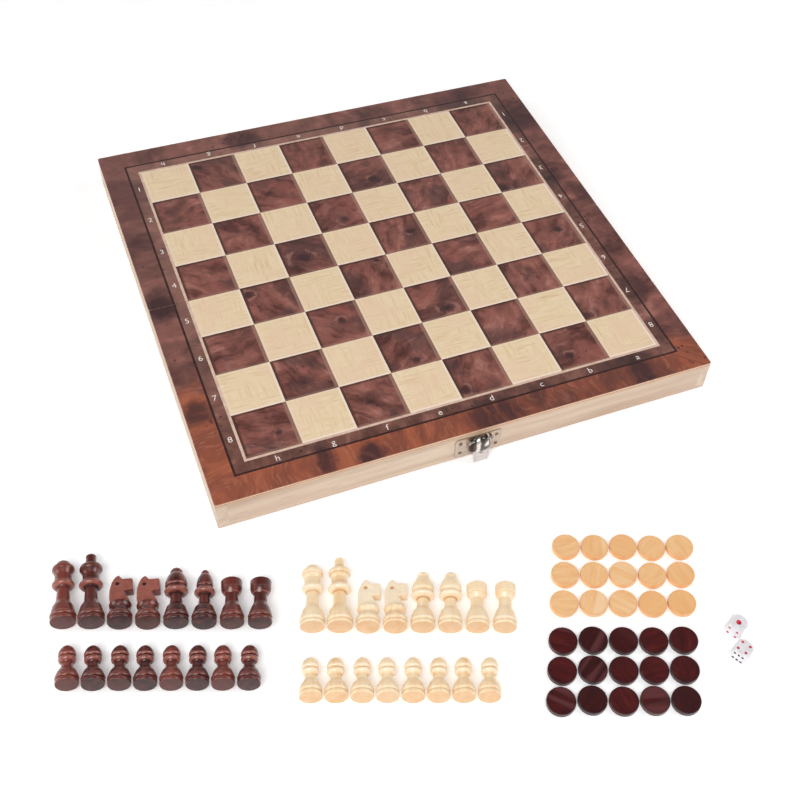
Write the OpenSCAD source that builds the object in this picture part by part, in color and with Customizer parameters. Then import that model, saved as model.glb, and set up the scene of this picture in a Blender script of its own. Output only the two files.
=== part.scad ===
// Folding games box: two shallow wooden trays, hinged back to back. Laid open with
// the trays face down, their panels make a chess board; folded, they make a box
// that a clasp holds shut. The chessmen, draughts and dice that the box holds lie
// on the table in front of it.
// X runs along the fold, the clasp faces -Y and Z is up. The origin is the middle
// of the fold, on the line of the hinge pins.

/* [Trays] */
// Side of the open board
board_w = 340; // [280:1:400]
// Height of a tray, from its rim to the top of the printed board
tray_h = 23.7; // [19:0.1:32]
// Thickness of the rails
rail_t = 7; // [6.5:0.1:10]
// Thickness of the panel over the rails
panel_t = 2.7; // [2:0.1:4]
// Thickness of a printed sheet
print_t = 0.3; // [0.2:0.05:0.5]
// Gap between the back walls when open, and between the rims when folded
fold_gap = 0.3; // [0.2:0.05:0.6]
// Rounding of a tray's outer corners
corner_r = 1.2; // [0.5:0.1:3]
// Rounding of a tray's corners at the fold
fold_corner_r = 0.8; // [0.5:0.1:2]

/* [Hinges] */
// Length of a hinge
hinge_len = 30; // [20:1:40]
// Distance from the board's end to the middle of a hinge
hinge_inset = 75; // [40:1:110]
// Width of a leaf, from the fold
leaf_w = 5.4; // [5:0.1:6]
// Thickness of a leaf
leaf_t = 0.9; // [0.7:0.1:1.1]
// Radius of the barrel
barrel_r = 1.1; // [1:0.05:1.4]
// Radius of the hinge pins
hinge_pin_r = 0.5; // [0.4:0.05:0.6]
// Radius of the screws' shanks
screw_r = 0.7; // [0.5:0.05:0.9]
// Radius of the screws' heads
screw_head_r = 1.4; // [1.2:0.05:1.5]
// Length of the screws
screw_len = 7; // [5:0.5:10]

/* [Clasp] */
// Width of the clasp's plate
plate_w = 31.6; // [29:0.1:38]
// Height of the clasp's plate
plate_h = 17.2; // [16:0.1:18]
// Height of the plate's lower edge above the hinge pins
plate_z = 2; // [1.5:0.1:3]
// Thickness of the clasp's plates
plate_t = 0.8; // [0.6:0.05:0.9]
// Width of the lever's dome
lever_w = 15.5; // [14:0.1:16.5]
// Thickness of the lever's metal
lever_t = 0.7; // [0.5:0.05:0.8]
// Radius of the lever's pin
lever_pin_r = 0.7; // [0.5:0.05:0.9]
// Width of the catch plate on the other tray
catch_w = 20; // [16:0.5:28]
// Radius of the nails' shanks
nail_r = 0.55; // [0.4:0.05:0.7]
// Radius of the nails' heads
nail_head_r = 1.2; // [0.9:0.05:1.4]
// Length of the nails
nail_len = 5; // [3:0.5:6]

/* [Chessmen] */
// Height of a king
king_h = 45.6; // [38:0.1:56]
// Width of a king's base
king_base = 15.2; // [13:0.1:18]
// Height of a queen
queen_h = 40.7; // [34:0.1:50]
// Width of a queen's base
queen_base = 14.7; // [13:0.1:15]
// Height of a bishop
bishop_h = 35.8; // [30:0.1:44]
// Width of a bishop's base
bishop_base = 14.4; // [13:0.1:15]
// Height of a knight
knight_h = 30.9; // [26:0.1:37]
// Width of a knight's base
knight_base = 14.2; // [13:0.1:15]
// Thickness of a knight's sawn head
knight_t = 6.5; // [4:0.1:7.5]
// Height of a rook
rook_h = 27.8; // [23:0.1:34]
// Width of a rook's base
rook_base = 14; // [13:0.1:15]
// Height of a pawn
pawn_h = 24.4; // [20:0.1:30]
// Width of a pawn's base
pawn_base = 13.1; // [11:0.1:16]

/* [Draughts and dice] */
// Width of a draughtsman
disc_d = 16.8; // [14:0.1:20]
// Thickness of a draughtsman
disc_t = 3.8; // [2.5:0.1:5]
// Side of a die
die_w = 10; // [8:0.1:12]

/* [Hidden] */
$fn = 48;

// Colours
rail_wood = "#d9bda5";
burl_print = "#7a4638";
steel = "#c9c9c6";
dark_wood = "#6e322d";
pale_wood = "#f0d9b5";
pale_disc_wood = "#e8b87a";
dark_disc_wood = "#4b1416";
ivory = "#f4f2ee";

// Clearances
play = 0.05;
knuckle_gap = 0.25;
moving_gap = 0.3;
cut_through = 1;

// Levels and faces of the open trays
rim_z = fold_gap / 2;
back_y = fold_gap / 2;
outer_y = board_w / 2;
top_z = rim_z + tray_h;
panel_z = top_z - print_t - panel_t;
rail_h = panel_z - rim_z;
floor_z = -barrel_r;

// ---- Trays. Each is drawn as the rear one; the front one is its mirror image ----

module front_side() {
    mirror([0, 1, 0]) children();
}

// Outline of a tray from above
module tray_outline() {
    flat_y = back_y + fold_corner_r;
    translate([fold_corner_r - outer_y, back_y])
        square([board_w - 2 * fold_corner_r, 2 * fold_corner_r]);
    translate([-outer_y, flat_y]) square([board_w, outer_y - corner_r - flat_y]);
    translate([corner_r - outer_y, outer_y - 2 * corner_r])
        square([board_w - 2 * corner_r, 2 * corner_r]);
    for (side = [-1, 1]) {
        translate([side * (outer_y - fold_corner_r), flat_y]) circle(r = fold_corner_r);
        translate([side * (outer_y - corner_r), outer_y - corner_r]) circle(r = corner_r);
    }
}

module sheet(z, t) {
    translate([0, 0, z]) linear_extrude(t) tray_outline();
}

module panel() {
    color(rail_wood) sheet(panel_z, panel_t);
}

module chess_print() {
    color(burl_print) sheet(top_z - print_t, print_t);
}

module backgammon_print() {
    color(burl_print) translate([rail_t - outer_y, back_y + rail_t, panel_z - print_t])
        cube([board_w - 2 * rail_t, outer_y - back_y - 2 * rail_t, print_t]);
}

// The end rails run the full depth of the tray, between its corners
module right_rail() {
    color(rail_wood) translate([0, 0, rim_z]) linear_extrude(rail_h) intersection() {
        tray_outline();
        translate([outer_y - rail_t, 0]) square([rail_t, outer_y]);
    }
}

module left_rail() {
    mirror([1, 0, 0]) right_rail();
}

module outer_rail() {
    translate([rail_t - outer_y, outer_y - rail_t, rim_z])
        cube([board_w - 2 * rail_t, rail_t, rail_h]);
}

module front_outer_rail() {
    color(rail_wood) difference() {
        front_side() outer_rail();
        on_clasp_wall() at_clasp_nails() nail_hole();
    }
}

module rear_outer_rail() {
    color(rail_wood) difference() {
        outer_rail();
        on_folded_wall() at_catch_nails() nail_hole();
    }
}

module hinge_rail() {
    color(rail_wood) difference() {
        translate([rail_t - outer_y, back_y, rim_z])
            cube([board_w - 2 * rail_t, rail_t, rail_h]);
        at_hinges() hinge_recess();
        at_hinges() at_screws() translate([0, 0, -cut_through])
            cylinder(r = screw_r + play, h = screw_len + 2 * cut_through);
    }
}

// ---- Hinges ----

hinge_x = outer_y - hinge_inset;
knuckles = 5;
knuckle_len = hinge_len / knuckles;
leaf_start = barrel_r + moving_gap;
screw_y = (leaf_start + leaf_w) / 2;
screw_x = hinge_len / 4;
screw_head_h = 0.7;

module at_hinges() {
    for (side = [-1, 1]) translate([side * hinge_x, 0, 0]) children();
}

module at_screws() {
    for (end = [-1, 1]) translate([end * screw_x, screw_y, rim_z]) children();
}

// A rod along the hinge's axis
module axis_rod(r, length) {
    rotate([0, 90, 0]) cylinder(r = r, h = length, center = true);
}

// Housing for a leaf in the rim, with a round clearance along the barrel
module hinge_recess() {
    recess_len = hinge_len + 2 * play;
    translate([-recess_len / 2, -cut_through, rim_z - cut_through])
        cube([recess_len, leaf_w + play + cut_through, leaf_t + cut_through]);
    axis_rod(barrel_r + moving_gap, recess_len);
}

// A leaf lying to +Y in the rim. Its knuckles are every second one from the first.
module leaf(first) {
    color(steel) difference() {
        union() {
            translate([-hinge_len / 2, leaf_start, rim_z])
                cube([hinge_len, leaf_w - leaf_start, leaf_t]);
            for (k = [first : 2 : knuckles - 1]) {
                middle = (k + 0.5) * knuckle_len - hinge_len / 2;
                width = knuckle_len - knuckle_gap;
                translate([middle, 0, 0]) axis_rod(barrel_r, width);
                translate([middle - width / 2, 0, rim_z]) cube([width, leaf_w, leaf_t]);
            }
        }
        axis_rod(hinge_pin_r + play, hinge_len + cut_through);
        at_screws() screw_shape(play);
    }
}

module hinge_pin() {
    color(steel) axis_rod(hinge_pin_r, hinge_len);
}

// A countersunk screw with its head flush at z = 0, grown by a clearance
module screw_shape(clear) {
    cylinder(r1 = screw_head_r + clear, r2 = screw_r + clear, h = screw_head_h);
    cylinder(r = screw_r + clear, h = screw_len);
}

module screw() {
    slot_w = 0.4;
    slot_len = 2;
    slot_h = 0.35;
    difference() {
        screw_shape(0);
        for (turn = [0, 90]) rotate([0, 0, turn])
            translate([-slot_len / 2, -slot_w / 2, -cut_through])
                cube([slot_len, slot_w, slot_h + cut_through]);
    }
}

module hinge_screws() {
    color(steel) at_hinges() at_screws() screw();
}

// ---- Clasp. Its pieces are drawn against a wall that faces -Y ----

pin_out = 3.6;
pin_z = 17.6;
head_r = 2.5;
dome_out = 6.9;
dome_z = 12.5;
crease_z = 9.8;
ear_t = 0.8;
ear_r = 1.5;
ear_x = lever_w / 2 - 0.45;
nail_x = plate_w / 2 - 3.4;
nail_low = 4.1;
nail_high = 13.2;
nail_rim_h = 0.3;
nail_dome_h = 0.3;
catch_low = 2;
catch_h = 12;
catch_nail_x = catch_w / 2 - 3;

module on_clasp_wall() {
    translate([0, -outer_y, 0]) children();
}

// The rear tray's catch is drawn as it lies when the box is folded shut
module on_folded_wall() {
    rotate([180, 0, 0]) on_clasp_wall() children();
}

// A front view drawn as [along the wall, up], standing out by a thickness
module facing(t) {
    rotate([90, 0, 0]) linear_extrude(t) children();
}

// A side view drawn as [out from the wall, up], with a width along the wall
module across(width) {
    rotate([90, 0, -90]) linear_extrude(width, center = true) children();
}

module rounded_plate(w, h, r) {
    translate([r - w / 2, 0]) square([w - 2 * r, h]);
    translate([-w / 2, r]) square([w, h - 2 * r]);
    for (x = [r - w / 2, w / 2 - r], z = [r, h - r]) translate([x, z]) circle(r = r);
}

module at_clasp_nails() {
    for (x = [-nail_x, nail_x], z = [nail_low, nail_high])
        translate([x, 0, plate_z + z]) children();
}

module at_catch_nails() {
    for (x = [-catch_nail_x, catch_nail_x])
        translate([x, 0, -catch_low - catch_h / 2]) children();
}

module at_lever_pin() {
    translate([0, -pin_out, pin_z]) children();
}

// A hole through a plate and on into the rail
module nail_hole() {
    rotate([90, 0, 0]) translate([0, 0, -nail_len - cut_through])
        cylinder(r = nail_r + play, h = nail_len + plate_t + 2 * cut_through);
}

module nail() {
    ball_r = (nail_head_r * nail_head_r + nail_dome_h * nail_dome_h) / (2 * nail_dome_h);
    head_h = nail_rim_h + nail_dome_h;
    rotate([90, 0, 0]) {
        translate([0, 0, -nail_len]) cylinder(r = nail_r, h = nail_len + plate_t + nail_rim_h);
        translate([0, 0, plate_t]) intersection() {
            cylinder(r = nail_head_r, h = head_h);
            translate([0, 0, head_h - ball_r]) sphere(r = ball_r);
        }
    }
}

module clasp_plate() {
    plate_corner_r = 2;
    ear_root = plate_t / 2;
    color(steel) on_clasp_wall() difference() {
        union() {
            translate([0, 0, plate_z]) facing(plate_t)
                rounded_plate(plate_w, plate_h, plate_corner_r);
            for (side = [-1, 1]) translate([side * (ear_x + ear_t / 2), 0, 0]) across(ear_t) {
                translate([pin_out, pin_z]) circle(r = ear_r);
                translate([ear_root, pin_z - ear_r]) square([pin_out - ear_root, 2 * ear_r]);
            }
        }
        at_clasp_nails() nail_hole();
        at_lever_pin() axis_rod(lever_pin_r + play, plate_w);
    }
}

module clasp_nails() {
    color(steel) on_clasp_wall() at_clasp_nails() nail();
}

// The lever's pin, with its ends hammered over outside the ears
module clasp_pin() {
    end_r = lever_pin_r + 0.4;
    end_h = 0.5;
    reach = ear_x + ear_t + play;
    color(steel) on_clasp_wall() at_lever_pin() {
        axis_rod(lever_pin_r, 2 * reach);
        for (side = [-1, 1]) translate([side * (reach + end_h / 2), 0, 0]) axis_rod(end_r, end_h);
    }
}

// Side view of the lever's dome, set in from its outside by a thickness. The skirt
// is how far out its open back begins.
module dome_side(t, skirt) {
    r = head_r - t;
    out = dome_out - t;
    inside = 0.6 * r;
    brow = [pin_out + inside, pin_z + inside];
    translate([pin_out, pin_z]) circle(r = r);
    polygon(concat(
        [[skirt, crease_z - t], [skirt - 1.5 * inside, pin_z], [pin_out - inside, brow[1]]],
        [for (s = [0 : 0.125 : 1])
            [brow[0] + (out - brow[0]) * sin(90 * s), brow[1] + (dome_z - brow[1]) * s]],
        [[out - 0.3, crease_z + 1], [out - 0.9 - t, crease_z - t]]));
}

// Front view of the dome, set in by a thickness
module dome_front(t) {
    r = lever_w / 2 - t;
    cheek = 0.98 * r;
    translate([0, dome_z]) circle(r = r);
    translate([-cheek, crease_z - t]) square([2 * cheek, dome_z - crease_z + t]);
}

// The bill below the dome, with the hook that it turns in under the catch
module bill_side() {
    root_out = 6.1;
    root_z = crease_z + 0.5;
    tip_out = 6.6;
    tip_z = -0.5;
    hook_out = 4.2;
    hook_z = -0.83;
    hook_t = 0.55;
    polygon([
        [root_out, root_z], [tip_out, tip_z + hook_t], [tip_out, tip_z], [hook_out, hook_z],
        [hook_out, hook_z + hook_t], [tip_out - lever_t, tip_z + hook_t],
        [root_out - lever_t, root_z]
    ]);
}

module bill_front() {
    root_half = 4.6;
    tip_half = 4;
    slot_w = 2.4;
    slot_h = 0.9;
    slot_z = 7.6;
    difference() {
        polygon([
            [-root_half, crease_z + 1], [root_half, crease_z + 1],
            [tip_half, floor_z], [-tip_half, floor_z]
        ]);
        translate([-slot_w / 2, slot_z]) square([slot_w, slot_h]);
    }
}

module clasp_lever() {
    open_back = -lever_w;
    reach = dome_out + cut_through;
    width = lever_w + 2 * cut_through;
    color(steel) on_clasp_wall() difference() {
        union() {
            intersection() {
                across(width) dome_side(0, pin_out);
                facing(reach) dome_front(0);
            }
            intersection() {
                across(width) bill_side();
                facing(reach) bill_front();
            }
        }
        intersection() {
            across(width) dome_side(lever_t, open_back);
            facing(reach) dome_front(lever_t);
        }
        at_lever_pin() axis_rod(lever_pin_r + play, width);
    }
}

// The catch stands on the folded tray and turns out over the lever's hook
module catch_plate() {
    tab_w = 8;
    tab_out = 0.4;
    tab_t = 0.7;
    lip_out = 2.7;
    lip_h = 0.75;
    overlap = 0.6;
    plate_corner_r = 1.5;
    color(steel) on_folded_wall() difference() {
        union() {
            translate([0, 0, -catch_low - catch_h]) facing(plate_t)
                rounded_plate(catch_w, catch_h, plate_corner_r);
            across(tab_w) {
                translate([tab_out, -catch_low - overlap])
                    square([tab_t, catch_low + overlap + lip_h]);
                translate([tab_out, 0]) square([lip_out - tab_out, lip_h]);
            }
        }
        at_catch_nails() nail_hole();
    }
}

module catch_nails() {
    color(steel) on_folded_wall() at_catch_nails() nail();
}

// ---- Chessmen. Each is turned from a list of turns, from its foot up ----

bow_steps = 6;
foot_inset = 0.5;
foot_bead_h = 2.1;
foot_groove_h = 0.4;
foot_ring_h = 2.8;
foot_step_h = 0.2;
foot_h = foot_bead_h + foot_groove_h + foot_ring_h + foot_step_h;
ring_z = foot_bead_h + foot_groove_h + foot_ring_h / 2;

// Side of a turned piece. A turn is [height, end radius, swell], and its swell is
// how far it bows out from a straight line, or in where it is negative.
function side_of(turns, r, z = 0, i = 0) =
    i == len(turns) ? [] : concat(
        [for (s = [1 : turns[i][2] == 0 ? 1 : bow_steps])
            let (a = turns[i][2] == 0 ? 180 : 180 * s / bow_steps, up = (1 - cos(a)) / 2)
            [r + (turns[i][1] - r) * up + turns[i][2] * sin(a), z + turns[i][0] * up]],
        side_of(turns, turns[i][1], z + turns[i][0], i + 1));

function height_of(turns, i = 0) =
    i == len(turns) ? 0 : turns[i][0] + height_of(turns, i + 1);

// A man's turns: the foot that they all have, which is a bead, a groove, a wide ring
// and a small step, then turns that are stretched to his height. The radii and swells
// of those are shares of his base's radius.
function man(h, base, above) =
    let (r = base / 2, stretch = (h - foot_h) / height_of(above))
    concat(
        [[foot_bead_h, r - foot_inset, 0.4], [foot_groove_h, r - 0.8, 0],
            [foot_ring_h, r - 0.75, 0.75], [foot_step_h, r - 0.5, 0]],
        [for (turn = above) [turn[0] * stretch, turn[1] * r, turn[2] * r]]);

king = man(king_h, king_base, [
    [4.6, 0.78, 0.01], [3.4, 0.53, 0], [8.6, 0.46, -0.01], [0.7, 0.58, 0],
    [3.2, 0.68, 0.25], [1.6, 0.62, 0.07], [3.6, 0.62, 0], [3.6, 0.83, -0.02],
    [2.2, 0.8, 0.04], [2.2, 0.42, 0.05], [4.9, 0.39, -0.01], [1.5, 0.24, 0.05]
]);
queen = man(queen_h, queen_base, [
    [4.6, 0.79, 0.01], [3.2, 0.56, 0], [8.7, 0.47, -0.01], [0.8, 0.57, 0],
    [3.2, 0.68, 0.23], [1.6, 0.65, 0.05], [3.5, 0.66, 0], [3.4, 0.84, -0.01],
    [2, 0.82, 0.03], [1.3, 0.56, 0.02], [2.9, 0.3, 0.1]
]);
// The second dark bishop is slimmer above his skirt than the others
bishop = man(bishop_h, bishop_base, [
    [4.2, 0.77, 0.01], [2.2, 0.55, 0], [6.2, 0.46, -0.02], [0.8, 0.7, 0],
    [2.6, 0.82, 0.17], [1.6, 0.78, 0.01], [9.5, 0.42, 0.23], [3.2, 0.25, 0.14]
]);
slim_bishop = man(bishop_h, bishop_base, [
    [4, 0.77, 0.01], [2.2, 0.52, 0], [6.4, 0.42, -0.02], [0.8, 0.6, 0],
    [2.8, 0.66, 0.2], [2, 0.58, 0.01], [9.2, 0.32, 0.18], [2.9, 0.16, 0.08]
]);
rook = man(rook_h, rook_base, [
    [4.2, 0.77, 0.01], [3, 0.58, 0], [5.6, 0.53, -0.01], [2.9, 0.81, 0.03],
    [0.5, 0.77, 0], [0.4, 0.85, 0], [5.2, 0.88, 0.01], [0.5, 0.8, 0]
]);
pawn = man(pawn_h, pawn_base, [
    [3, 0.75, 0.02], [1.7, 0.56, 0], [3.4, 0.44, -0.01], [0.5, 0.5, 0],
    [2.7, 0.6, 0.18], [0.4, 0.56, 0], [7.2, 0.2, 0.33]
]);
knight_stand_h = foot_h + 6.2;
knight = man(knight_stand_h, knight_base, [[3.4, 0.76, -0.04], [2.8, 0.89, 0.03]]);

module turned(turns, base) {
    start_r = base / 2 - foot_inset;
    rotate_extrude() polygon(concat(
        [[0, 0], [start_r, 0]], side_of(turns, start_r), [[0, height_of(turns)]]));
}

// A horse's head sawn from flat wood, as [towards the nose, up]
module knight_head() {
    neck_z = knight_stand_h - 0.4;
    poll_z = knight_h - 1.4;
    rotate([90, 0, 0]) linear_extrude(knight_t, center = true) polygon([
        [-5.2, neck_z], [5.2, neck_z], [5.6, neck_z + 1.6], [2.2, neck_z + 8],
        [3, neck_z + 8.9], [6.7, neck_z + 8.9], [7.1, neck_z + 9.6], [7, poll_z - 2.2],
        [6.2, poll_z - 1.3], [0.9, poll_z - 1.2], [0.2, poll_z], [-0.7, knight_h - 0.2],
        [-1.7, knight_h], [-3.4, poll_z], [-5, poll_z - 3.4], [-5.9, poll_z - 8],
        [-6, neck_z + 4]
    ]);
}

// A man laid on his side touches the table with his foot's ring and with the widest
// part further up, so his head dips by this angle
function dip(turns, base) = atan(min([for (p = side_of(turns, base / 2 - foot_inset))
    if (p[1] > ring_z + foot_ring_h) (base / 2 - p[0]) / (p[1] - ring_z)]));

// Lays a man with his foot at a place on the table and his head away from the players
module laid(turns, base, place, heading) {
    tilt = dip(turns, base);
    translate([place[0], place[1], floor_z + ring_z * sin(tilt) + base / 2 * cos(tilt)])
        rotate([0, 0, heading - 90]) rotate([-90 - tilt, 0, 0]) {
            turned(turns, base);
            children();
        }
}

// ---- Places on the table. The rows run at an angle to the board ----

row_angle = -20.6;
officer_pitch = king_base + 0.4;
pawn_pitch = pawn_base + 0.8;
sides_apart = 29.5;

// A place some way along the rows from a start, and some way nearer the players
function place_from(start, along, nearer = 0) = [
    start[0] + along * cos(row_angle) + nearer * sin(row_angle),
    start[1] + along * sin(row_angle) - nearer * cos(row_angle)
];

dark_officers = [-outer_y - 97.5, -outer_y - 35.5];
dark_pawn_line = place_from(dark_officers, 8.7, 37.3);
pale_officers = place_from(dark_officers, 7 * officer_pitch + sides_apart, 2.4);
pale_pawn_line = place_from(pale_officers, 1, 42.4);

// The men fan out a little along the rows, and each is knocked slightly out of line
function heading_at(i, row) = 63.8 - 0.059 * (row[0] + i * 14.6) + 0.9 * sin(137 * i);

module officer(i, row, second_bishop) {
    place = place_from(row, i * officer_pitch);
    heading = heading_at(i, row);
    if (i == 0) laid(queen, queen_base, place, heading);
    if (i == 1) laid(king, king_base, place, heading);
    if (i == 2 || i == 3) laid(knight, knight_base, place, heading) knight_head();
    if (i == 4) laid(bishop, bishop_base, place, heading);
    if (i == 5) laid(second_bishop, bishop_base, place, heading);
    if (i == 6 || i == 7) laid(rook, rook_base, place, heading);
}

module pawn_row(row) {
    for (i = [0 : 7])
        laid(pawn, pawn_base, place_from(row, i * pawn_pitch), heading_at(i, row));
}

module dark_officer(i) {
    color(dark_wood) officer(i, dark_officers, slim_bishop);
}

module pale_officer(i) {
    color(pale_wood) officer(i, pale_officers, bishop);
}

module dark_pawns() {
    color(dark_wood) pawn_row(dark_pawn_line);
}

module pale_pawns() {
    color(pale_wood) pawn_row(pale_pawn_line);
}

// ---- Draughts ----

disc_edge = 0.4;
disc_pitch = disc_d + 0.7;
pale_row_pitch = disc_d + 2.8;
dark_row_pitch = disc_d + 1.8;
dark_rows_away = 3 * disc_d + 13.3;
column_angle = 242.5;
disc_corner = place_from(pale_officers, 7 * officer_pitch + 41.1, -57.6);

module disc() {
    r = disc_d / 2;
    rotate_extrude() polygon([
        [0, 0], [r - disc_edge, 0], [r, disc_edge],
        [r, disc_t - disc_edge], [r - disc_edge, disc_t], [0, disc_t]
    ]);
}

// Five discs in a row, some way down the columns from the corner, and not quite in line
module disc_row(away) {
    start = disc_corner + away * [cos(column_angle), sin(column_angle)];
    for (i = [0 : 4]) {
        place = place_from(start, i * disc_pitch, 0.4 * sin(151 * i + away));
        translate([place[0], place[1], floor_z]) disc();
    }
}

module pale_draughts_row(i) {
    color(pale_disc_wood) disc_row((i - 1) * pale_row_pitch);
}

module dark_draughts_row(i) {
    color(dark_disc_wood) disc_row(dark_rows_away + (i - 1) * dark_row_pitch);
}

// ---- Dice ----

die_corner_r = 0.7 * die_w;
pip_pitch = die_w / 4;
pip_r = 0.085 * die_w;
one_pip_r = 0.16 * die_w;
pip_depth = 0.035 * die_w;
die_one_place = place_from(disc_corner, 94.2, 55.5);
die_four_place = place_from(disc_corner, 94.3, 71.5);
die_heading = 28;

// Where a face's pips are, in steps of the pitch
function pips(n) = concat(
    n % 2 == 1 ? [[0, 0]] : [],
    n > 1 ? [[-1, -1], [1, 1]] : [],
    n > 3 ? [[-1, 1], [1, -1]] : [],
    n == 6 ? [[-1, 0], [1, 0]] : []);

// A pip is a shallow dish in the upper face, cut by a ball
module pip(r) {
    ball_r = (r * r + pip_depth * pip_depth) / (2 * pip_depth);
    translate([0, 0, die_w / 2 + ball_r - pip_depth]) sphere(r = ball_r);
}

// A die with its one up. Opposite faces add up to seven.
module die() {
    faces = [[1, 0, 0], [6, 180, 0], [2, 90, 0], [5, 270, 0], [3, 0, 90], [4, 0, 270]];
    difference() {
        intersection() {
            cube(die_w, center = true);
            sphere(r = die_corner_r);
        }
        for (face = faces) rotate([face[1], face[2], 0])
            for (at = pips(face[0])) translate([at[0] * pip_pitch, at[1] * pip_pitch, 0])
                pip(face[0] == 1 ? one_pip_r : pip_r);
    }
}

module die_at(place, roll) {
    color(ivory) translate([place[0], place[1], floor_z + die_w / 2])
        rotate([0, 0, die_heading]) rotate([0, roll, 0]) die();
}

// ---- What is drawn ----

front_outer_rail();
front_side() hinge_rail();  // front_hinge_rail
front_side() left_rail();  // front_left_rail
front_side() right_rail();  // front_right_rail
front_side() panel();  // front_panel
front_side() chess_print();  // front_chess_print
front_side() backgammon_print();  // front_backgammon_print
rear_outer_rail();
hinge_rail();  // rear_hinge_rail
left_rail();  // rear_left_rail
right_rail();  // rear_right_rail
panel();  // rear_panel
chess_print();  // rear_chess_print
backgammon_print();  // rear_backgammon_print
translate([-hinge_x, 0, 0]) front_side() leaf(0);  // left_hinge_front_leaf
translate([-hinge_x, 0, 0]) leaf(1);  // left_hinge_rear_leaf
translate([-hinge_x, 0, 0]) hinge_pin();  // left_hinge_pin
translate([hinge_x, 0, 0]) front_side() leaf(0);  // right_hinge_front_leaf
translate([hinge_x, 0, 0]) leaf(1);  // right_hinge_rear_leaf
translate([hinge_x, 0, 0]) hinge_pin();  // right_hinge_pin
front_side() hinge_screws();  // front_hinge_screws
hinge_screws();  // rear_hinge_screws
clasp_plate();
clasp_lever();
clasp_pin();
clasp_nails();
catch_plate();
catch_nails();
dark_officer(0);  // dark_queen
dark_officer(1);  // dark_king
dark_officer(2);  // dark_knight_1
dark_officer(3);  // dark_knight_2
dark_officer(4);  // dark_bishop_1
dark_officer(5);  // dark_bishop_2
dark_officer(6);  // dark_rook_1
dark_officer(7);  // dark_rook_2
dark_pawns();
pale_officer(0);  // pale_queen
pale_officer(1);  // pale_king
pale_officer(2);  // pale_knight_1
pale_officer(3);  // pale_knight_2
pale_officer(4);  // pale_bishop_1
pale_officer(5);  // pale_bishop_2
pale_officer(6);  // pale_rook_1
pale_officer(7);  // pale_rook_2
pale_pawns();
pale_draughts_row(1);  // pale_draughts_row_1
pale_draughts_row(2);  // pale_draughts_row_2
pale_draughts_row(3);  // pale_draughts_row_3
dark_draughts_row(1);  // dark_draughts_row_1
dark_draughts_row(2);  // dark_draughts_row_2
dark_draughts_row(3);  // dark_draughts_row_3
die_at(die_one_place, 0);  // die_showing_one
die_at(die_four_place, 90);  // die_showing_four
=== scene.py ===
"""Looks of the folding games box and of the men, draughts and dice that go with it.

Sizes are in millimetres until a mesh is made. X runs along the fold, the clasp faces -Y, Z is up.
"""

import math
from functools import reduce

import bpy
from mathutils import Matrix, Vector
from mathutils.geometry import tessellate_polygon


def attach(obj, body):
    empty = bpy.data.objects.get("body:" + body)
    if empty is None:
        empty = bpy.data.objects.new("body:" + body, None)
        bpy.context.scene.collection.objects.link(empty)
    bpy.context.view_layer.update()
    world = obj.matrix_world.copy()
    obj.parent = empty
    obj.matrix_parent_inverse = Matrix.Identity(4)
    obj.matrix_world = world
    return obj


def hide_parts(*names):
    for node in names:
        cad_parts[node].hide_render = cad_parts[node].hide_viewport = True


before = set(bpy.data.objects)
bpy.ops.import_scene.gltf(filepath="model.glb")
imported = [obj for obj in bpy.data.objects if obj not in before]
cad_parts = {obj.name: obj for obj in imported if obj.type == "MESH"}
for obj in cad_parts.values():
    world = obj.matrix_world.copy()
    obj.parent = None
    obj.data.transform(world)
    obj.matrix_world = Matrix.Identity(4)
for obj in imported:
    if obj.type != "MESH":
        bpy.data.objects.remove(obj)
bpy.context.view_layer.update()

MM = 0.001

# Sizes of the box, as in the CAD model
BOARD_W = 340
SQUARE = BOARD_W / 9.52
BACK_Y = 0.15
RAIL_T = 7
SHEET_LOW = 23.55
SHEET_TOP = 23.85
PANEL_LOW = 20.85
TABLE_TOP = 20.55
RIM_Z = 0.15
CORNER_R = 1.2
FOLD_CORNER_R = 0.8
FLOOR_Z = -1.1


# ---- Node maths ----


class Shade:
    """What a node gives out. Arithmetic on it adds Math nodes."""

    def __init__(self, finish, socket):
        self.finish = finish
        self.socket = socket

    def __add__(self, other):
        return self.finish.maths("ADD", self, other)

    def __radd__(self, other):
        return self.finish.maths("ADD", other, self)

    def __sub__(self, other):
        return self.finish.maths("SUBTRACT", self, other)

    def __rsub__(self, other):
        return self.finish.maths("SUBTRACT", other, self)

    def __mul__(self, other):
        return self.finish.maths("MULTIPLY", self, other)


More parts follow.
